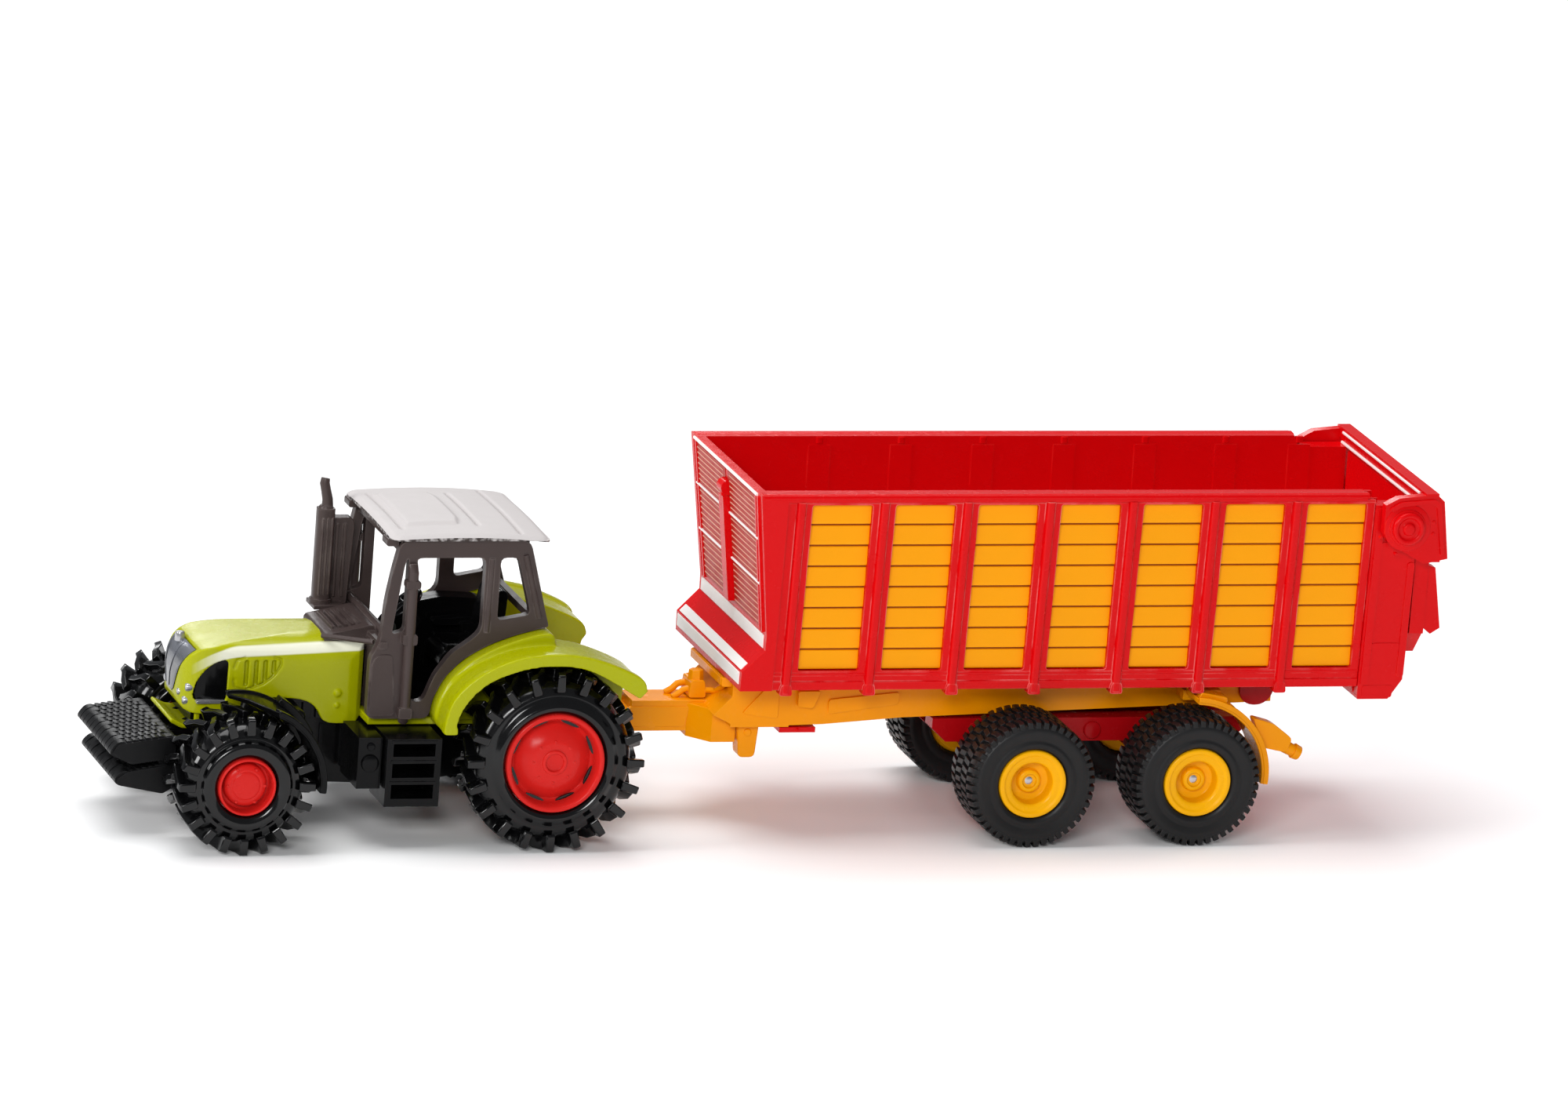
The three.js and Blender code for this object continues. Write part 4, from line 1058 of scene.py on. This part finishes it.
def make_cab_frame():
    half = 9.9
    thick = 1.15
    wall = cut(
        plate(CAB_OUTLINE, 0.9, half - thick, half),
        plate(DOORWAY, 0.8, half - 3, half + 2),
        plate(WINDSCREEN_SIDE, 0.5, half - 3, half + 2),
        plate(REAR_QUARTER, 0.7, half - 3, half + 2),
    )
    rail = half + 0.42

    def hand_rail(x):
        return rod([(x, rail - 0.5, 31.0), (x, rail, 30.4), (x, rail + 0.1, 24.0), (x, rail, 14.0),
                    (x, rail - 0.5, 13.4)], 0.58, 16)

    side = [
        wall,
        block(-16.75, -15.1, half - 0.3, half + 1.0, 22.2, 23.4, 0.3),
        block(-16.75, -15.1, half - 0.3, half + 1.0, 28.6, 29.5, 0.3),
        block(-16.7, -15.2, half - 0.3, half + 1.0, 13.8, 15.0, 0.3),
        # hinges, door sill and the ridge along the rear pillar
        block(-19.2, -18.3, half - 0.2, half + 0.3, 21.6, 22.4, 0.2),
        rod([(-7.0, half - 0.1, 23.4), (-6.9, half - 0.1, 31.8)], 0.32, 10),
        rod([(-3.1, half - 0.05, 32.2), (-1.1, half - 0.05, 25.0)], 0.34, 10),
        plate([(-19.9, 13.9), (-19.9, 20.0), (-19.2, 20.9), (-17.6, 20.9), (-17.0, 14.0)], 0.5,
              half - 0.2, half + 0.16),
    ]
    inside = half - 0.3
    cross = [
        block(-17.3, -16.2, -inside, inside, 32.3, 33.75),
        block(-3.8, -2.7, -inside, inside, 32.3, 33.75),
        cut(block(-19.2, -18.4, -inside, inside, 13.7, 21.8), block(-20, -18, -4.4, 4.4, 15, 20)),
        plate([(-24, 20.4), (-24, 21.7), (-21, 22.3), (-18.6, 22.9), (-17.9, 22.5), (-17.9, 20.4)],
              0.5, -4.7, 4.7),
        block(-19.1, -17.9, -inside, inside, 20.9, 22.2),
        rod([(-17.8, -half + 0.6, 22.6), (-17.8, half - 0.6, 22.6)], 0.5, 12),
        rod([(-24.2, -4.3, 21.6), (-19.5, -8.6, 22.0)], 0.3, 10),
        block(-1.6, -0.8, -inside, inside, 24.1, 24.9),
    ]
    louvres = [block(-22.9 + 0.75 * i, -22.5 + 0.75 * i, -3.2, 3.2, 21.6, 22.35 + 0.1 * i)
               for i in range(5)]
    rails = [flipped(hand_rail(-15.9), -1), hand_rail(-16.9)]
    piece("cab_shell", "tractor", "brown_cab", [*both(*side), *rails, *cross, *louvres], TRACTOR,
          ["cab_frame"], bevel=0.2, segments=3, angle=30)


ROOF_HALF, ROOF_FRONT, ROOF_REAR, ROOF_UNDER, ROOF_CREST = 10.5, -18.6, -0.4, 33.95, 34.98


def roof_height(x, y):
    """The lid's top: a gentle camber with three pressed lines and a raised front panel."""
    fall = 0.012 * (x + 10) ** 2 * (0.35 if x < -10 else 0.55)
    z = ROOF_CREST - 0.32 * (y / ROOF_HALF) ** 2 - fall
    inset = min(x - ROOF_FRONT, ROOF_REAR - x, ROOF_HALF - abs(y))
    z -= 0.32 * max(0.0, 1 - inset / 0.75) ** 2

    def rise(value, width=0.35):
        return 1 / (1 + math.exp(-value / width * 4))

    panel = min(x + 16.0, -9.8 - x - 0.25 * max(0, abs(y) - 4.6), 6.4 - abs(y))
    z += 0.3 * rise(panel, 0.22)
    for line, reach in ((-16.75, 7.6), (-7.9, 6.9), (-3.6, 9.2)):
        z -= 0.34 * math.exp(-((x - line) / 0.17) ** 2) * rise(reach - abs(y))
    return z


def make_roof():
    nx, ny, r = 92, 106, 1.1
    xs = [lerp(ROOF_FRONT, ROOF_REAR, i / nx) for i in range(nx + 1)]
    ys = [lerp(-ROOF_HALF, ROOF_HALF, j / ny) for j in range(ny + 1)]

    def corner(x, y):
        """Pulls the four corners of the sheet in to a small radius."""
        dx, dy = max(0, ROOF_FRONT + r - x, x - (ROOF_REAR - r)), max(0, abs(y) - (ROOF_HALF - r))
        if dx == 0 or dy == 0:
            return x, y
        scale = max(dx, dy) / math.hypot(dx, dy)
        x += (dx - dx * scale) * (1 if x < -9 else -1)
        y -= (dy - dy * scale) * (1 if y > 0 else -1)
        return x, y

    points = []
    for top in (True, False):
        for y in ys:
            for x in xs:
                px, py = corner(x, y)
                points.append((px, py, roof_height(x, y) if top else ROOF_UNDER))
    row, sheet = nx + 1, (nx + 1) * (ny + 1)
    faces = []
    for layer in (0, sheet):
        for j in range(ny):
            for i in range(nx):
                a = layer + j * row + i
                faces.append((a, a + 1, a + 1 + row, a + row))
    loop = list(range(nx)) + [nx + j * row for j in range(ny)]
    loop += [ny * row + nx - i for i in range(nx)] + [(ny - j) * row for j in range(ny)]
    for a, b in zip(loop, loop[1:] + loop[:1]):
        faces.append((a, b, b + sheet, a + sheet))
    lamps = both(block(-18.9, -17.5, 7.2, 9.4, 33.1, 33.95, 0.25))
    piece("roof_lid", "tractor", "grey_roof", [(points, faces)], TRACTOR, ["cab_roof"], bevel=0,
          angle=50)
    piece("roof_lamps", "tractor", "brown_cab", lamps, TRACTOR, bevel=0.15)


def make_stack():
    x, y = -21.6, 6.9
    body = [
        plate([(x - 1.0, y - 0.95), (x + 1.0, y - 0.95), (x + 1.0, y + 0.95), (x - 1.0, y + 0.95)],
              0.7, 22.2, 33.2, "z"),
        rod([(x, y, 22.2), (x, y, 22.9)], 1.25, 24),
        rod([(x, y, 33.0), (x, y, 33.5)], [0.95, 0.72], 24),
        rod([(x + 0.15, y, 33.2), (x + 0.1, y, 34.2), (x - 0.12, y + 0.05, 35.2),
             (x - 0.3, y + 0.1, 36.0),
             (x - 0.2, y + 0.2, 36.55)], [0.66, 0.6, 0.56, 0.56, 0.5], 20),
        *[block(x + d - 0.1, x + d + 0.1, y - 1.06, y - 0.8, 23.4, 32.2)
          for d in (-0.45, 0.1, 0.6)],
        plate([(-21.6, 22.3), (-18.6, 22.0), (-18.2, 31.0), (-18.4, 32.0), (-21.6, 32.0)],
              0.4, 6.9, 8.5),
        *[block(x - 0.16, x + 0.16, 6.6, 7.1, 23.0, 31.4, 0.1)
          for x in (-20.2, -19.3)],
        block(-22.7, -19.2, 5.2, 8.8, 21.9, 22.4),
    ]
    piece("stack_skin", "tractor", "brown_cab", body, TRACTOR, ["exhaust_stack"], bevel=0.1,
          angle=40)


def make_interior():
    half = 8.2
    seat = [
        plate([(-10.4, 17.4), (-10.3, 18.6), (-9.6, 19.5), (-4.6, 19.1), (-4.0, 17.6)],
              0.7, -3.2, 3.2),
        plate([(-5.7, 19), (-4.4, 25.6), (-3.6, 26.4), (-2.8, 26.0), (-3.3, 18.6)], 0.6, -3.0, 3.0),
        plate([(-9.4, 19.0), (-9.4, 19.75), (-5.4, 19.55), (-5.2, 19.0)], 0.3, -1.9, 1.9),
        *both(plate([(-9.6, 19.0), (-9.6, 20.1), (-5.0, 19.9), (-4.8, 19.0)], 0.4, 2.3, 3.15)),
        plate([(-9.3, 20.5), (-9.4, 21.2), (-4.6, 21.5), (-4.4, 20.6)], 0.35, 3.6, 4.9),
        block(-6.2, -4.6, 3.0, 4.2, 17.5, 20.9),
        plate([(-7.6, 14.4), (-9.4, 17.6), (-4.4, 17.6), (-5.2, 14.4)], 0.5, -2.2, 2.2),
    ]
    piece("driver_seat", "tractor", "black_plastic", seat, TRACTOR, bevel=0.22, segments=3)
    controls = [
        block(-18.2, 0.6, -half, half, 13.5, 14.5),
        plate([(-17.8, 14), (-17.8, 20.4), (-16.8, 21.6), (-15.4, 21.2), (-14.8, 14)],
              0.8, -3.6, 3.6),
        plate([(-13.4, 14), (-13.4, 21.4), (-11.6, 22.6), (-8.0, 23.3), (-3.2, 23.0), (-1, 21.4),
               (-1, 14)], 0.9, 5.6, half),
        plate([(-9, 14), (-7.6, 18.4), (-4, 20), (-0.6, 20.4), (-0.6, 14)], 0.6, -half, -5.2),
        *[rod([(x, 6.4, 20.2), (x - 0.5, 6.3, 22.2)], 0.2, 10) for x in (-11.8, -10.4, -9.0)],
        *[rod([(x - 0.4, 6.3, 21.9), (x - 0.6, 6.3, 22.9)], [0.36, 0.3], 12)
          for x in (-11.8, -10.4, -9.0)],
        *[block(-12.6 + i * 1.4, -12.0 + i * 1.4, 5.0, 5.35, 15.4, 19.2) for i in range(8)],
        plate([(-16.6, 21.2), (-15.8, 22.4), (-15.2, 22.3), (-15.0, 21.0)], 0.3, -2.0, 2.0),
        *both(rod([(-14.9, 1.6, 15.4), (-13.6, 1.6, 16.0)], 0.35, 10)),
    ]
    piece("cab_controls", "tractor", "black_plastic", controls, TRACTOR, ["cab_interior"],
          bevel=0.15)


def make_steering_wheel():
    tilt, centre = Matrix.Rotation(math.radians(-42), 3, "Y"), Vector((-13.8, 0, 24.0))
    reach, grip, steps, sides = 2.1, 0.3, 40, 12
    ring = []
    for k in range(steps):
        a = 2 * math.pi * k / steps
        out = Vector((math.cos(a), math.sin(a), 0))
        ring.append([out * reach + (out * math.cos(b) + Vector((0, 0, 1)) * math.sin(b)) * grip
                     for b in (2 * math.pi * j / sides for j in range(sides))])
    points, faces = hull_sweep(ring + [ring[0]])
    faces = faces[2:]  # a closed ring has no end caps
    spokes = [rod([(0, 0, -0.2), (1.2 * math.cos(a), 1.2 * math.sin(a), -0.1),
                   (2.1 * math.cos(a), 2.1 * math.sin(a), 0)], [0.34, 0.24, 0.22], 10)
              for a in (math.radians(d) for d in (90, 210, 330))]
    hub = turned([(0, -0.35), (0.62, -0.35), (0.7, -0.1), (0.45, 0.2), (0, 0.25)], 24)
    hub = changed(hub, lambda x, y, z: (x, z, y))
    lifted = [changed(solid, lambda x, y, z: tuple(tilt @ Vector((x, y, z)) + centre))
              for solid in ((points, faces), hub, *spokes)]
    column = rod([(-16.2, 0, 21.5), (-14.4, 0, 23.4), (-13.9, 0, 23.9)], [0.6, 0.45, 0.4], 16)
    piece("steering_wheel_skin", "tractor", "black_plastic", [*lifted, column], TRACTOR,
          ["steering_wheel"], bevel=0, angle=50)


# ------------------------------------------------------------------ trailer: hopper
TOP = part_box("hopper_tub")[1].z / MM
FLOOR_UNDER = 17.3
LEAN = 1.2 / (TOP - FLOOR_UNDER)  # the sides draw in this much per mm down
SKIN = 12.8  # outer face of the side walls at the top
POST_FACE = 14.2
PANEL_FIRST, PANEL_PITCH, PANEL_WIDTH, PANELS = 18.7, 9.64, 7.0, 7
PANEL_BOTTOM, PANEL_TOP, BOARDS = 19.5, 38.8, 8


def leaned(solid):
    return changed(solid, lambda x, y, z: (x, y + LEAN * (z - TOP), z))


def post_x(i):
    return PANEL_FIRST + i * PANEL_PITCH - (PANEL_PITCH - PANEL_WIDTH) / 2


def wall_x(z):
    """The front wall's outer face leans back on its way down."""
    return lerp(12.6, 14.6, (TOP - z) / (TOP - 23.7))


def front_wall_strip(start, end, proud):
    """A side outline along the front wall, from one height to another, that stands proud of it."""
    return [(wall_x(start) - proud, start), (wall_x(end) - proud, end), (wall_x(end) + 0.3, end),
            (wall_x(start) + 0.3, start)]


def make_tub():
    rail = rounded([(12.9, 39.45), (14.25, 39.45), (14.28, 39.95), (13.8, 40.08), (12.7, 40.0),
                    (12.6, 39.6)], 0.25)
    solids = [cad("hopper_tub", TRAILER), *both(prism(rail, 12.9, 83.6, "x"))]
    for i in range(1, PANELS + 1):
        x = post_x(i) if i < PANELS else 84.0
        solids += both(plate([(x - 0.5, 12.2), (x + 0.5, 12.2), (x + 0.35, 11.72),
                              (x - 0.35, 11.72)], 0.15, 39.2, 39.9, "z"))
        # Inside, each post shows as a faint flat strip on the wall.
        strip = block(x - 1.3, x + 1.3, SKIN - 1.02, SKIN - 0.8, 18.6, 39.0)
        solids += both(leaned(strip))
    # A low sill stands on the floor's rear edge, up to the tailgate's lower edge.
    solids.append(block(88.8, 89.6, -12.5, 12.5, 17.7, 21.3))
    # end frame: corner post, panel edges and the step under the tailgate
    for x0, x1, z0, z1, y in (
        (84.7, 85.6, 17.6, 38.4, 14.4), (88.9, 89.7, 18.6, 32.0, 14.35),
        (85.6, 88.9, 33.4, 34.4, 14.3),
        (85.6, 88.9, 21.6, 22.5, 14.3), (85.0, 88.6, 16.1, 17.5, 14.25),
    ):
        rib = block(x0, x1, y - 0.6, y, z0, z1, 0.3)
        solids += both(leaned(rib))
    ram = [
        rod([(wall_x(37.2) - 0.15, 0, 37.2), (wall_x(28.0) - 0.1, 0, 28.0)], [0.75, 0.55], 16),
        rod([(wall_x(37.9) - 0.1, -0.9, 37.4), (wall_x(37.9) - 0.1, 0.9, 37.4)], 0.85, 18),
        rod([(wall_x(28.4), -0.6, 28.0), (wall_x(28.4), 0.6, 28.0)], 0.62, 16),
    ]
    borders = []
    for y in (11.95, 12.85):
        borders += both(leaned(prism(front_wall_strip(23.9, 39.6, 0.22), y - 0.2, y + 0.25)))
    piece("hopper_shell", "trailer", "red_hopper", [*solids, *ram, *borders], TRAILER,
          ["hopper_tub"],
          bevel=0.16)


def make_front_wall_trim():
    """Fine pale ridges in two columns of three panes, with thicker bars between them."""
    panes = ((39.2, 34.95), (34.3, 29.75), (29.1, 24.3))
    ridges = []
    for high, low in panes:
        for k in range(7):
            z = lerp(high, low, (k + 0.5) / 7)
            reach = 11.6 + LEAN * (z - TOP)
            x = wall_x(z)
            section = rounded([(x - 0.13, z - 0.06), (x - 0.13, z + 0.07), (x + 0.15, z + 0.11),
                               (x + 0.15, z - 0.11)], 0.04)
            ridges += both(prism(section, 1.25, reach))
    bars = []
    for z, tall in ((39.72, 0.16), (34.6, 0.13), (29.4, 0.13)):
        reach = 12.6 + LEAN * (z - TOP)
        x = wall_x(z)
        bars.append(plate([(x - 0.26, z - tall), (x - 0.26, z + tall), (x + 0.2, z + tall),
                           (x + 0.2, z - tall)], 0.12, -reach, reach))
    tail = [rod([(wall_x(27.4) - 0.12, 0, 27.4), (wall_x(24.2) - 0.12, 0, 24.2)], 0.16, 10)]
    low = 12.4 + LEAN * (22 - TOP) + 0.9
    bands = [
        plate([(14.48, 22.1), (14.48, 23.6), (14.7, 23.6), (14.7, 22.1)], 0.08, -low, low),
        plate([(12.9, 20.43), (12.15, 19.68), (12.35, 19.5), (13.1, 20.25)], 0.08, -low, low),
        plate([(11.98, 17.95), (11.98, 19.35), (12.2, 19.35), (12.2, 17.95)], 0.08, -low, low),
    ]
    piece("front_wall_trim", "trailer", "red_hopper", [*bars, *bands], TRAILER, bevel=0.04,
          material=NEAR_WHITE)
    piece("front_wall_ridges", "trailer", "red_hopper", [*ridges, *tail], TRAILER, bevel=0.03,
          material=PALE_RIDGE)
    # A darker red sheet just proud of the wall, under the ridges: painted shade in the grooves.
    pane = prism(front_wall_strip(39.3, 24.2, 0.06), 0.5, 11.75)
    piece("front_wall_pane_shade", "trailer", "red_hopper", both(leaned(pane)), TRAILER, bevel=0,
          material=PANE_SHADE_RED)


def make_sides():
    step = (PANEL_TOP - PANEL_BOTTOM) / BOARDS
    inner = SKIN + 0.05
    for side, sign in SIDES.items():
        # Behind the boards, a dark orange sheet paints the shade in the gaps between them.
        gap_shade_sheet = block(16.2, 84.1, inner, inner + 0.16, 18.3, 39.0)
        boards = []
        for row in range(BOARDS):
            z = PANEL_BOTTOM + row * step
            section = rounded([
                (inner, z + 0.1), (inner + 0.42, z + 0.1), (inner + 0.45, z + 0.3),
                (inner + 0.28, z + step - 0.16), (inner, z + step - 0.1),
            ], 0.1)
            boards.append(prism(section, 16.2, 84.1, "x"))
        piece(f"slats_{side}", "trailer", "yellow_slat", on_side(map(leaned, boards), sign),
              TRAILER, [f"slat_panel_{side}"], bevel=0.05)
        piece(f"slat_gaps_{side}", "trailer", "yellow_slat", [flipped(leaned(gap_shade_sheet), sign)],
              TRAILER, bevel=0, material=SLAT_GAP_SHADE)

        face = POST_FACE - 0.4
        windows = []
        for i in range(PANELS):
            x = PANEL_FIRST + i * PANEL_PITCH
            outline = [(x, PANEL_BOTTOM), (x + PANEL_WIDTH, PANEL_BOTTOM),
                       (x + PANEL_WIDTH, PANEL_TOP), (x, PANEL_TOP)]
            windows.append(plate(outline, 0.3, 12, 16))
        backboard = cut(block(15.85, 84.45, inner + 0.1, face, 17.3, 39.2), *windows)
        frame_solids = [backboard]
        for i in range(PANELS):
            x = post_x(i)
            section = rounded([(x - 0.62, face - 0.3), (x - 0.42, POST_FACE + 0.15),
                               (x + 0.42, POST_FACE + 0.15),
                               (x + 0.62, face - 0.3)], 0.25)
            frame_solids.append(prism(section, 17.0, 39.2, "z"))
            foot = rounded([(x - 0.75, 16.75), (x + 0.75, 16.75), (x + 0.6, 18.0), (x - 0.6, 18.0)],
                           0.3)
            frame_solids.append(prism(foot, face - 0.9, POST_FACE + 0.1))
        for z0, z1, out in ((17.3, 18.3, 0.14), (18.95, 19.3, 0.06), (39.0, 39.3, 0.08)):
            bar = rounded([(face - 0.3, z0), (face + out, z0), (face + out, z1), (face - 0.3, z1)],
                          0.14)
            frame_solids.append(prism(bar, 15.85, 84.45, "x"))
        piece(f"rib_skin_{side}", "trailer", "red_hopper", on_side(map(leaned, frame_solids), sign),
              TRAILER, [f"rib_frame_{side}"], bevel=0.12, segments=2, material=RED_RIBS_HIGHLIT)


# ------------------------------------------------------------------ trailer: tailgate
PIVOT = JOINTS["tailgate_swing"]["pos_m"]
PIVOT_X, PIVOT_Z = PIVOT[0] / MM - TRAILER.x, PIVOT[2] / MM


def make_tailgate():
    rings = []
    for radius, out in ((2.7, 0.14), (2.15, 0.34)):
        rings.append(button(PIVOT_X, 15.6, PIVOT_Z, radius, out, sides=40))
    rings = [cut(ring, button(PIVOT_X, 15.0, PIVOT_Z, 1.5, 3, sides=32)) for ring in rings]
    details = both(
        *rings,
        *[button(PIVOT_X + 3.2 * math.cos(a), 15.6, PIVOT_Z + 3.2 * math.sin(a), 0.2, 0.16,
                 sides=12)
          for a in (math.radians(d) for d in (-12, 12, 200, 250))],
        plate([(85.5, 38.7), (86.8, 39.5), (90.9, 39.8), (91.6, 39.3), (92.4, 33.4), (92.0, 33.3),
                       (91.1, 38.9), (90.6, 39.3), (87.0, 39.0), (85.9, 38.3)], 0.25, 15.3, 15.85),
        rod([(91.9, 12.3, 31.2), (93.0, 12.3, 24.2)], 0.5, 12),
    )
    panels = [
        *[block(91.0, 91.75, y - 0.25, y + 0.25, 23.8, 32.6) for y in (-10.4, -5.2, 0, 5.2, 10.4)],
        block(91.0, 91.8, -12.9, 12.9, 27.9, 28.4),
        block(89.65, 90.05, -11.0, 11.0, 33.4, 38.4),
    ]
    piece("tailgate_skin", "gate", "red_hopper", [cad("tailgate", TRAILER), *details, *panels],
          TRAILER,
          ["tailgate"], bevel=0.16)
    lines = [block(x - 0.12, x + 0.2, -13.4, 13.4, z - 0.14, z + 0.14, 0.08)
             for x, z in ((89.75, 39.95), (89.68, 38.85))]
    piece("tailgate_lines", "gate", "red_hopper", lines, TRAILER, bevel=0.03, material=NEAR_WHITE)
    for side, sign in SIDES.items():
        profile = [(0, 14.15), (1.1, 14.15), (1.1, 15.8), (1.85, 15.8), (1.9, 16.25), (1.7, 16.45),
                   (1.35, 16.45), (1.2, 16.2), (0.75, 16.2), (0.6, 16.5), (0, 16.5)]
        pin = changed(turned(rounded(profile, 0.14, closed=False), 40),
                      lambda x, y, z: (x + PIVOT_X, y, z + PIVOT_Z))
        piece(f"gate_pin_cap_{side}", "trailer", "red_hopper", [flipped(pin, sign)], TRAILER,
              [f"tailgate_pin_{side}"], bevel=0, angle=45)


# ------------------------------------------------------------------ trailer: running gear
def make_trailer_frame():
    drawbar = [
        *both(plate([(2.6, 10.3), (9.2, 10.3), (9.6, 12.6), (2.6, 12.6)], 0.3, 2.0, 2.45)),
        block(2.2, 3.2, -2.5, 2.5, 9.7, 12.2),
        *both(plate([(14.4, 13.0), (17.4, 16.4), (18.6, 16.4), (18.6, 12.4)], 0.4, 6.3, 7.0)),
        *both(plate([(24.4, 12.9), (32.6, 14.0), (32.6, 15.4), (24.4, 14.6)], 0.4, 6.4, 7.05)),
        *both(block(34.5, 72, 6.5, 7.05, 16.2, 17.1)),
        *both(plate([(20.7, 15.7), (23.3, 15.7), (22.5, 13.7), (20.7, 13.9)], 0.25, 6.6, 7.5)),
        *[button(x, 0, 17.1, 0.8, 0.15, "z", 20) for x in (40, 55.5)],
        block(12.0, 15.6, -6.3, 6.3, 15.95, 17.05, 0.3),
    ]
    piece("trailer_frame_skin", "trailer", "orange_frame",
          [cad("trailer_chassis", TRAILER), *drawbar],
          TRAILER, ["trailer_chassis"], bevel=0.18)
    leg = [
        plate([(14.7, 7.6), (16.6, 7.6), (16.9, 11.5), (14.4, 11.5)], 0.55, -5.7, -3.5),
        rod([(15.6, -5.85, 10.5), (15.6, -3.4, 10.5)], 0.45, 14),
    ]
    piece("support_leg_skin", "trailer", "orange_frame", leg, TRAILER, ["support_leg"], bevel=0.14)
    valve = [
        plate([(9.7, 13.4), (11.7, 13.4), (11.5, 15.4), (9.9, 15.4)], 0.3, -1.7, 1.7),
        rod([(10.7, -0.5, 15.2), (10.7, -0.5, 16.4)], [0.95, 0.8], 6),
        rod([(10.9, 1.0, 15.2), (10.9, 1.0, 15.9)], 0.5, 6),
        rod([(9.9, 0.8, 14.6), (9.0, 0.8, 14.4), (8.4, 0.8, 13.8), (7.6, 0.8, 13.35)], 0.38, 12),
        rod([(9.9, -0.8, 14.3), (9.2, -0.8, 14.1), (8.6, -0.8, 13.6), (8.0, -0.8, 13.3)], 0.34, 12),
        rod([(11.5, -1.2, 14.2), (12.6, -2.2, 14.4), (13.0, -3.4, 15.2), (13.2, -4.4, 16.0)],
            0.34, 12),
    ]
    piece("hydraulic_block_skin", "trailer", "orange_frame", valve, TRAILER, ["hydraulic_block"],
          bevel=0.12)
    clip = [cad("hopper_clip", TRAILER), *both(button(21.1, 6.6, 11.0, 0.25, 0.12, sides=12))]
    piece("hopper_clip_skin", "trailer", "red_hopper", clip, TRAILER, ["hopper_clip"], bevel=0.12)


def make_bogie():
    details = both(
        *[button(x, 7.3, 7.35, 1.5, 0.35, sides=28) for x in (45.85, 65.2)],
        plate([(40.6, 10.2), (50.8, 10.2), (50.2, 11.7), (41.2, 11.7)], 0.4, 6.8, 7.25),
        plate([(60.0, 10.2), (70.2, 10.2), (69.6, 11.7), (60.6, 11.7)], 0.4, 6.8, 7.25),
        button(55.5, 7.0, 10.9, 1.0, 0.4, sides=28),
        *[block(x, x + 0.5, 1.2, 4.4, 10.6, 11.6) for x in (42, 50, 60, 68)],
        plate([(72.6, 17.2), (76.6, 17.2), (76.6, 14.9), (75.4, 13.7), (73.6, 13.7), (72.6, 14.7)],
              0.8, 5.6, 7.2),
    )
    piece("bogie_skin", "trailer", "dark_red_bogie", [cad("bogie", TRAILER), *details], TRAILER,
          ["bogie"],
          bevel=0.2)


def make_trailer_mudguards():
    centre = middle("trailer_rear_axle")
    x, z = centre.x - TRAILER.x, centre.z
    for side, sign in SIDES.items():
        solids = [
            prism(arc(x, z, 8.35, -6, 88, 24) + arc(x, z, 8.95, 88, -6, 24), 9.2, 14.2),
            prism(arc(x, z, 8.6, -6, 88, 24) + arc(x, z, 9.2, 88, -6, 24), 13.7, 14.3),
            prism(arc(x, z, 8.6, -6, 88, 24) + arc(x, z, 9.15, 88, -6, 24), 9.15, 9.7),
            plate([(x + 0.6, z + 8.5), (x + 3.9, z + 8.0), (x + 4.0, z + 8.9), (x + 0.8, z + 9.5)],
                  0.35, 11.0, 13.2),
            block(x, x + 4.4, 6.85, 9.4, 14.9, 16.1),
            plate([(72.3, 13.9), (74.8, 13.2), (77.2, 11.4), (76.6, 9.8), (73.8, 10.4)], 0.5, 11.7,
                  13.3),
            rod([(75.2, 12.5, 11.0), (78.0, 12.5, 9.65)], 0.72, 20),
            rod([(77.6, 12.5, 9.85), (78.35, 12.5, 9.5)], [0.9, 0.8], 20),
        ]
        piece(f"trailer_mudguard_skin_{side}", "trailer", "orange_frame",
              on_side(solids, sign), TRAILER, [f"trailer_mudguard_{side}"],
              bevel=0.14)


make_camera()
make_studio()
make_floor()
make_wheels()
make_axles()
make_bonnet()
make_fenders()
make_nose()
make_base()
make_front_mudguards()
make_front_weight()
make_hitch()
make_cab_frame()
make_roof()
make_stack()
make_interior()
make_steering_wheel()
make_tub()
make_front_wall_trim()
make_sides()
make_tailgate()
make_trailer_frame()
make_bogie()
make_trailer_mudguards()
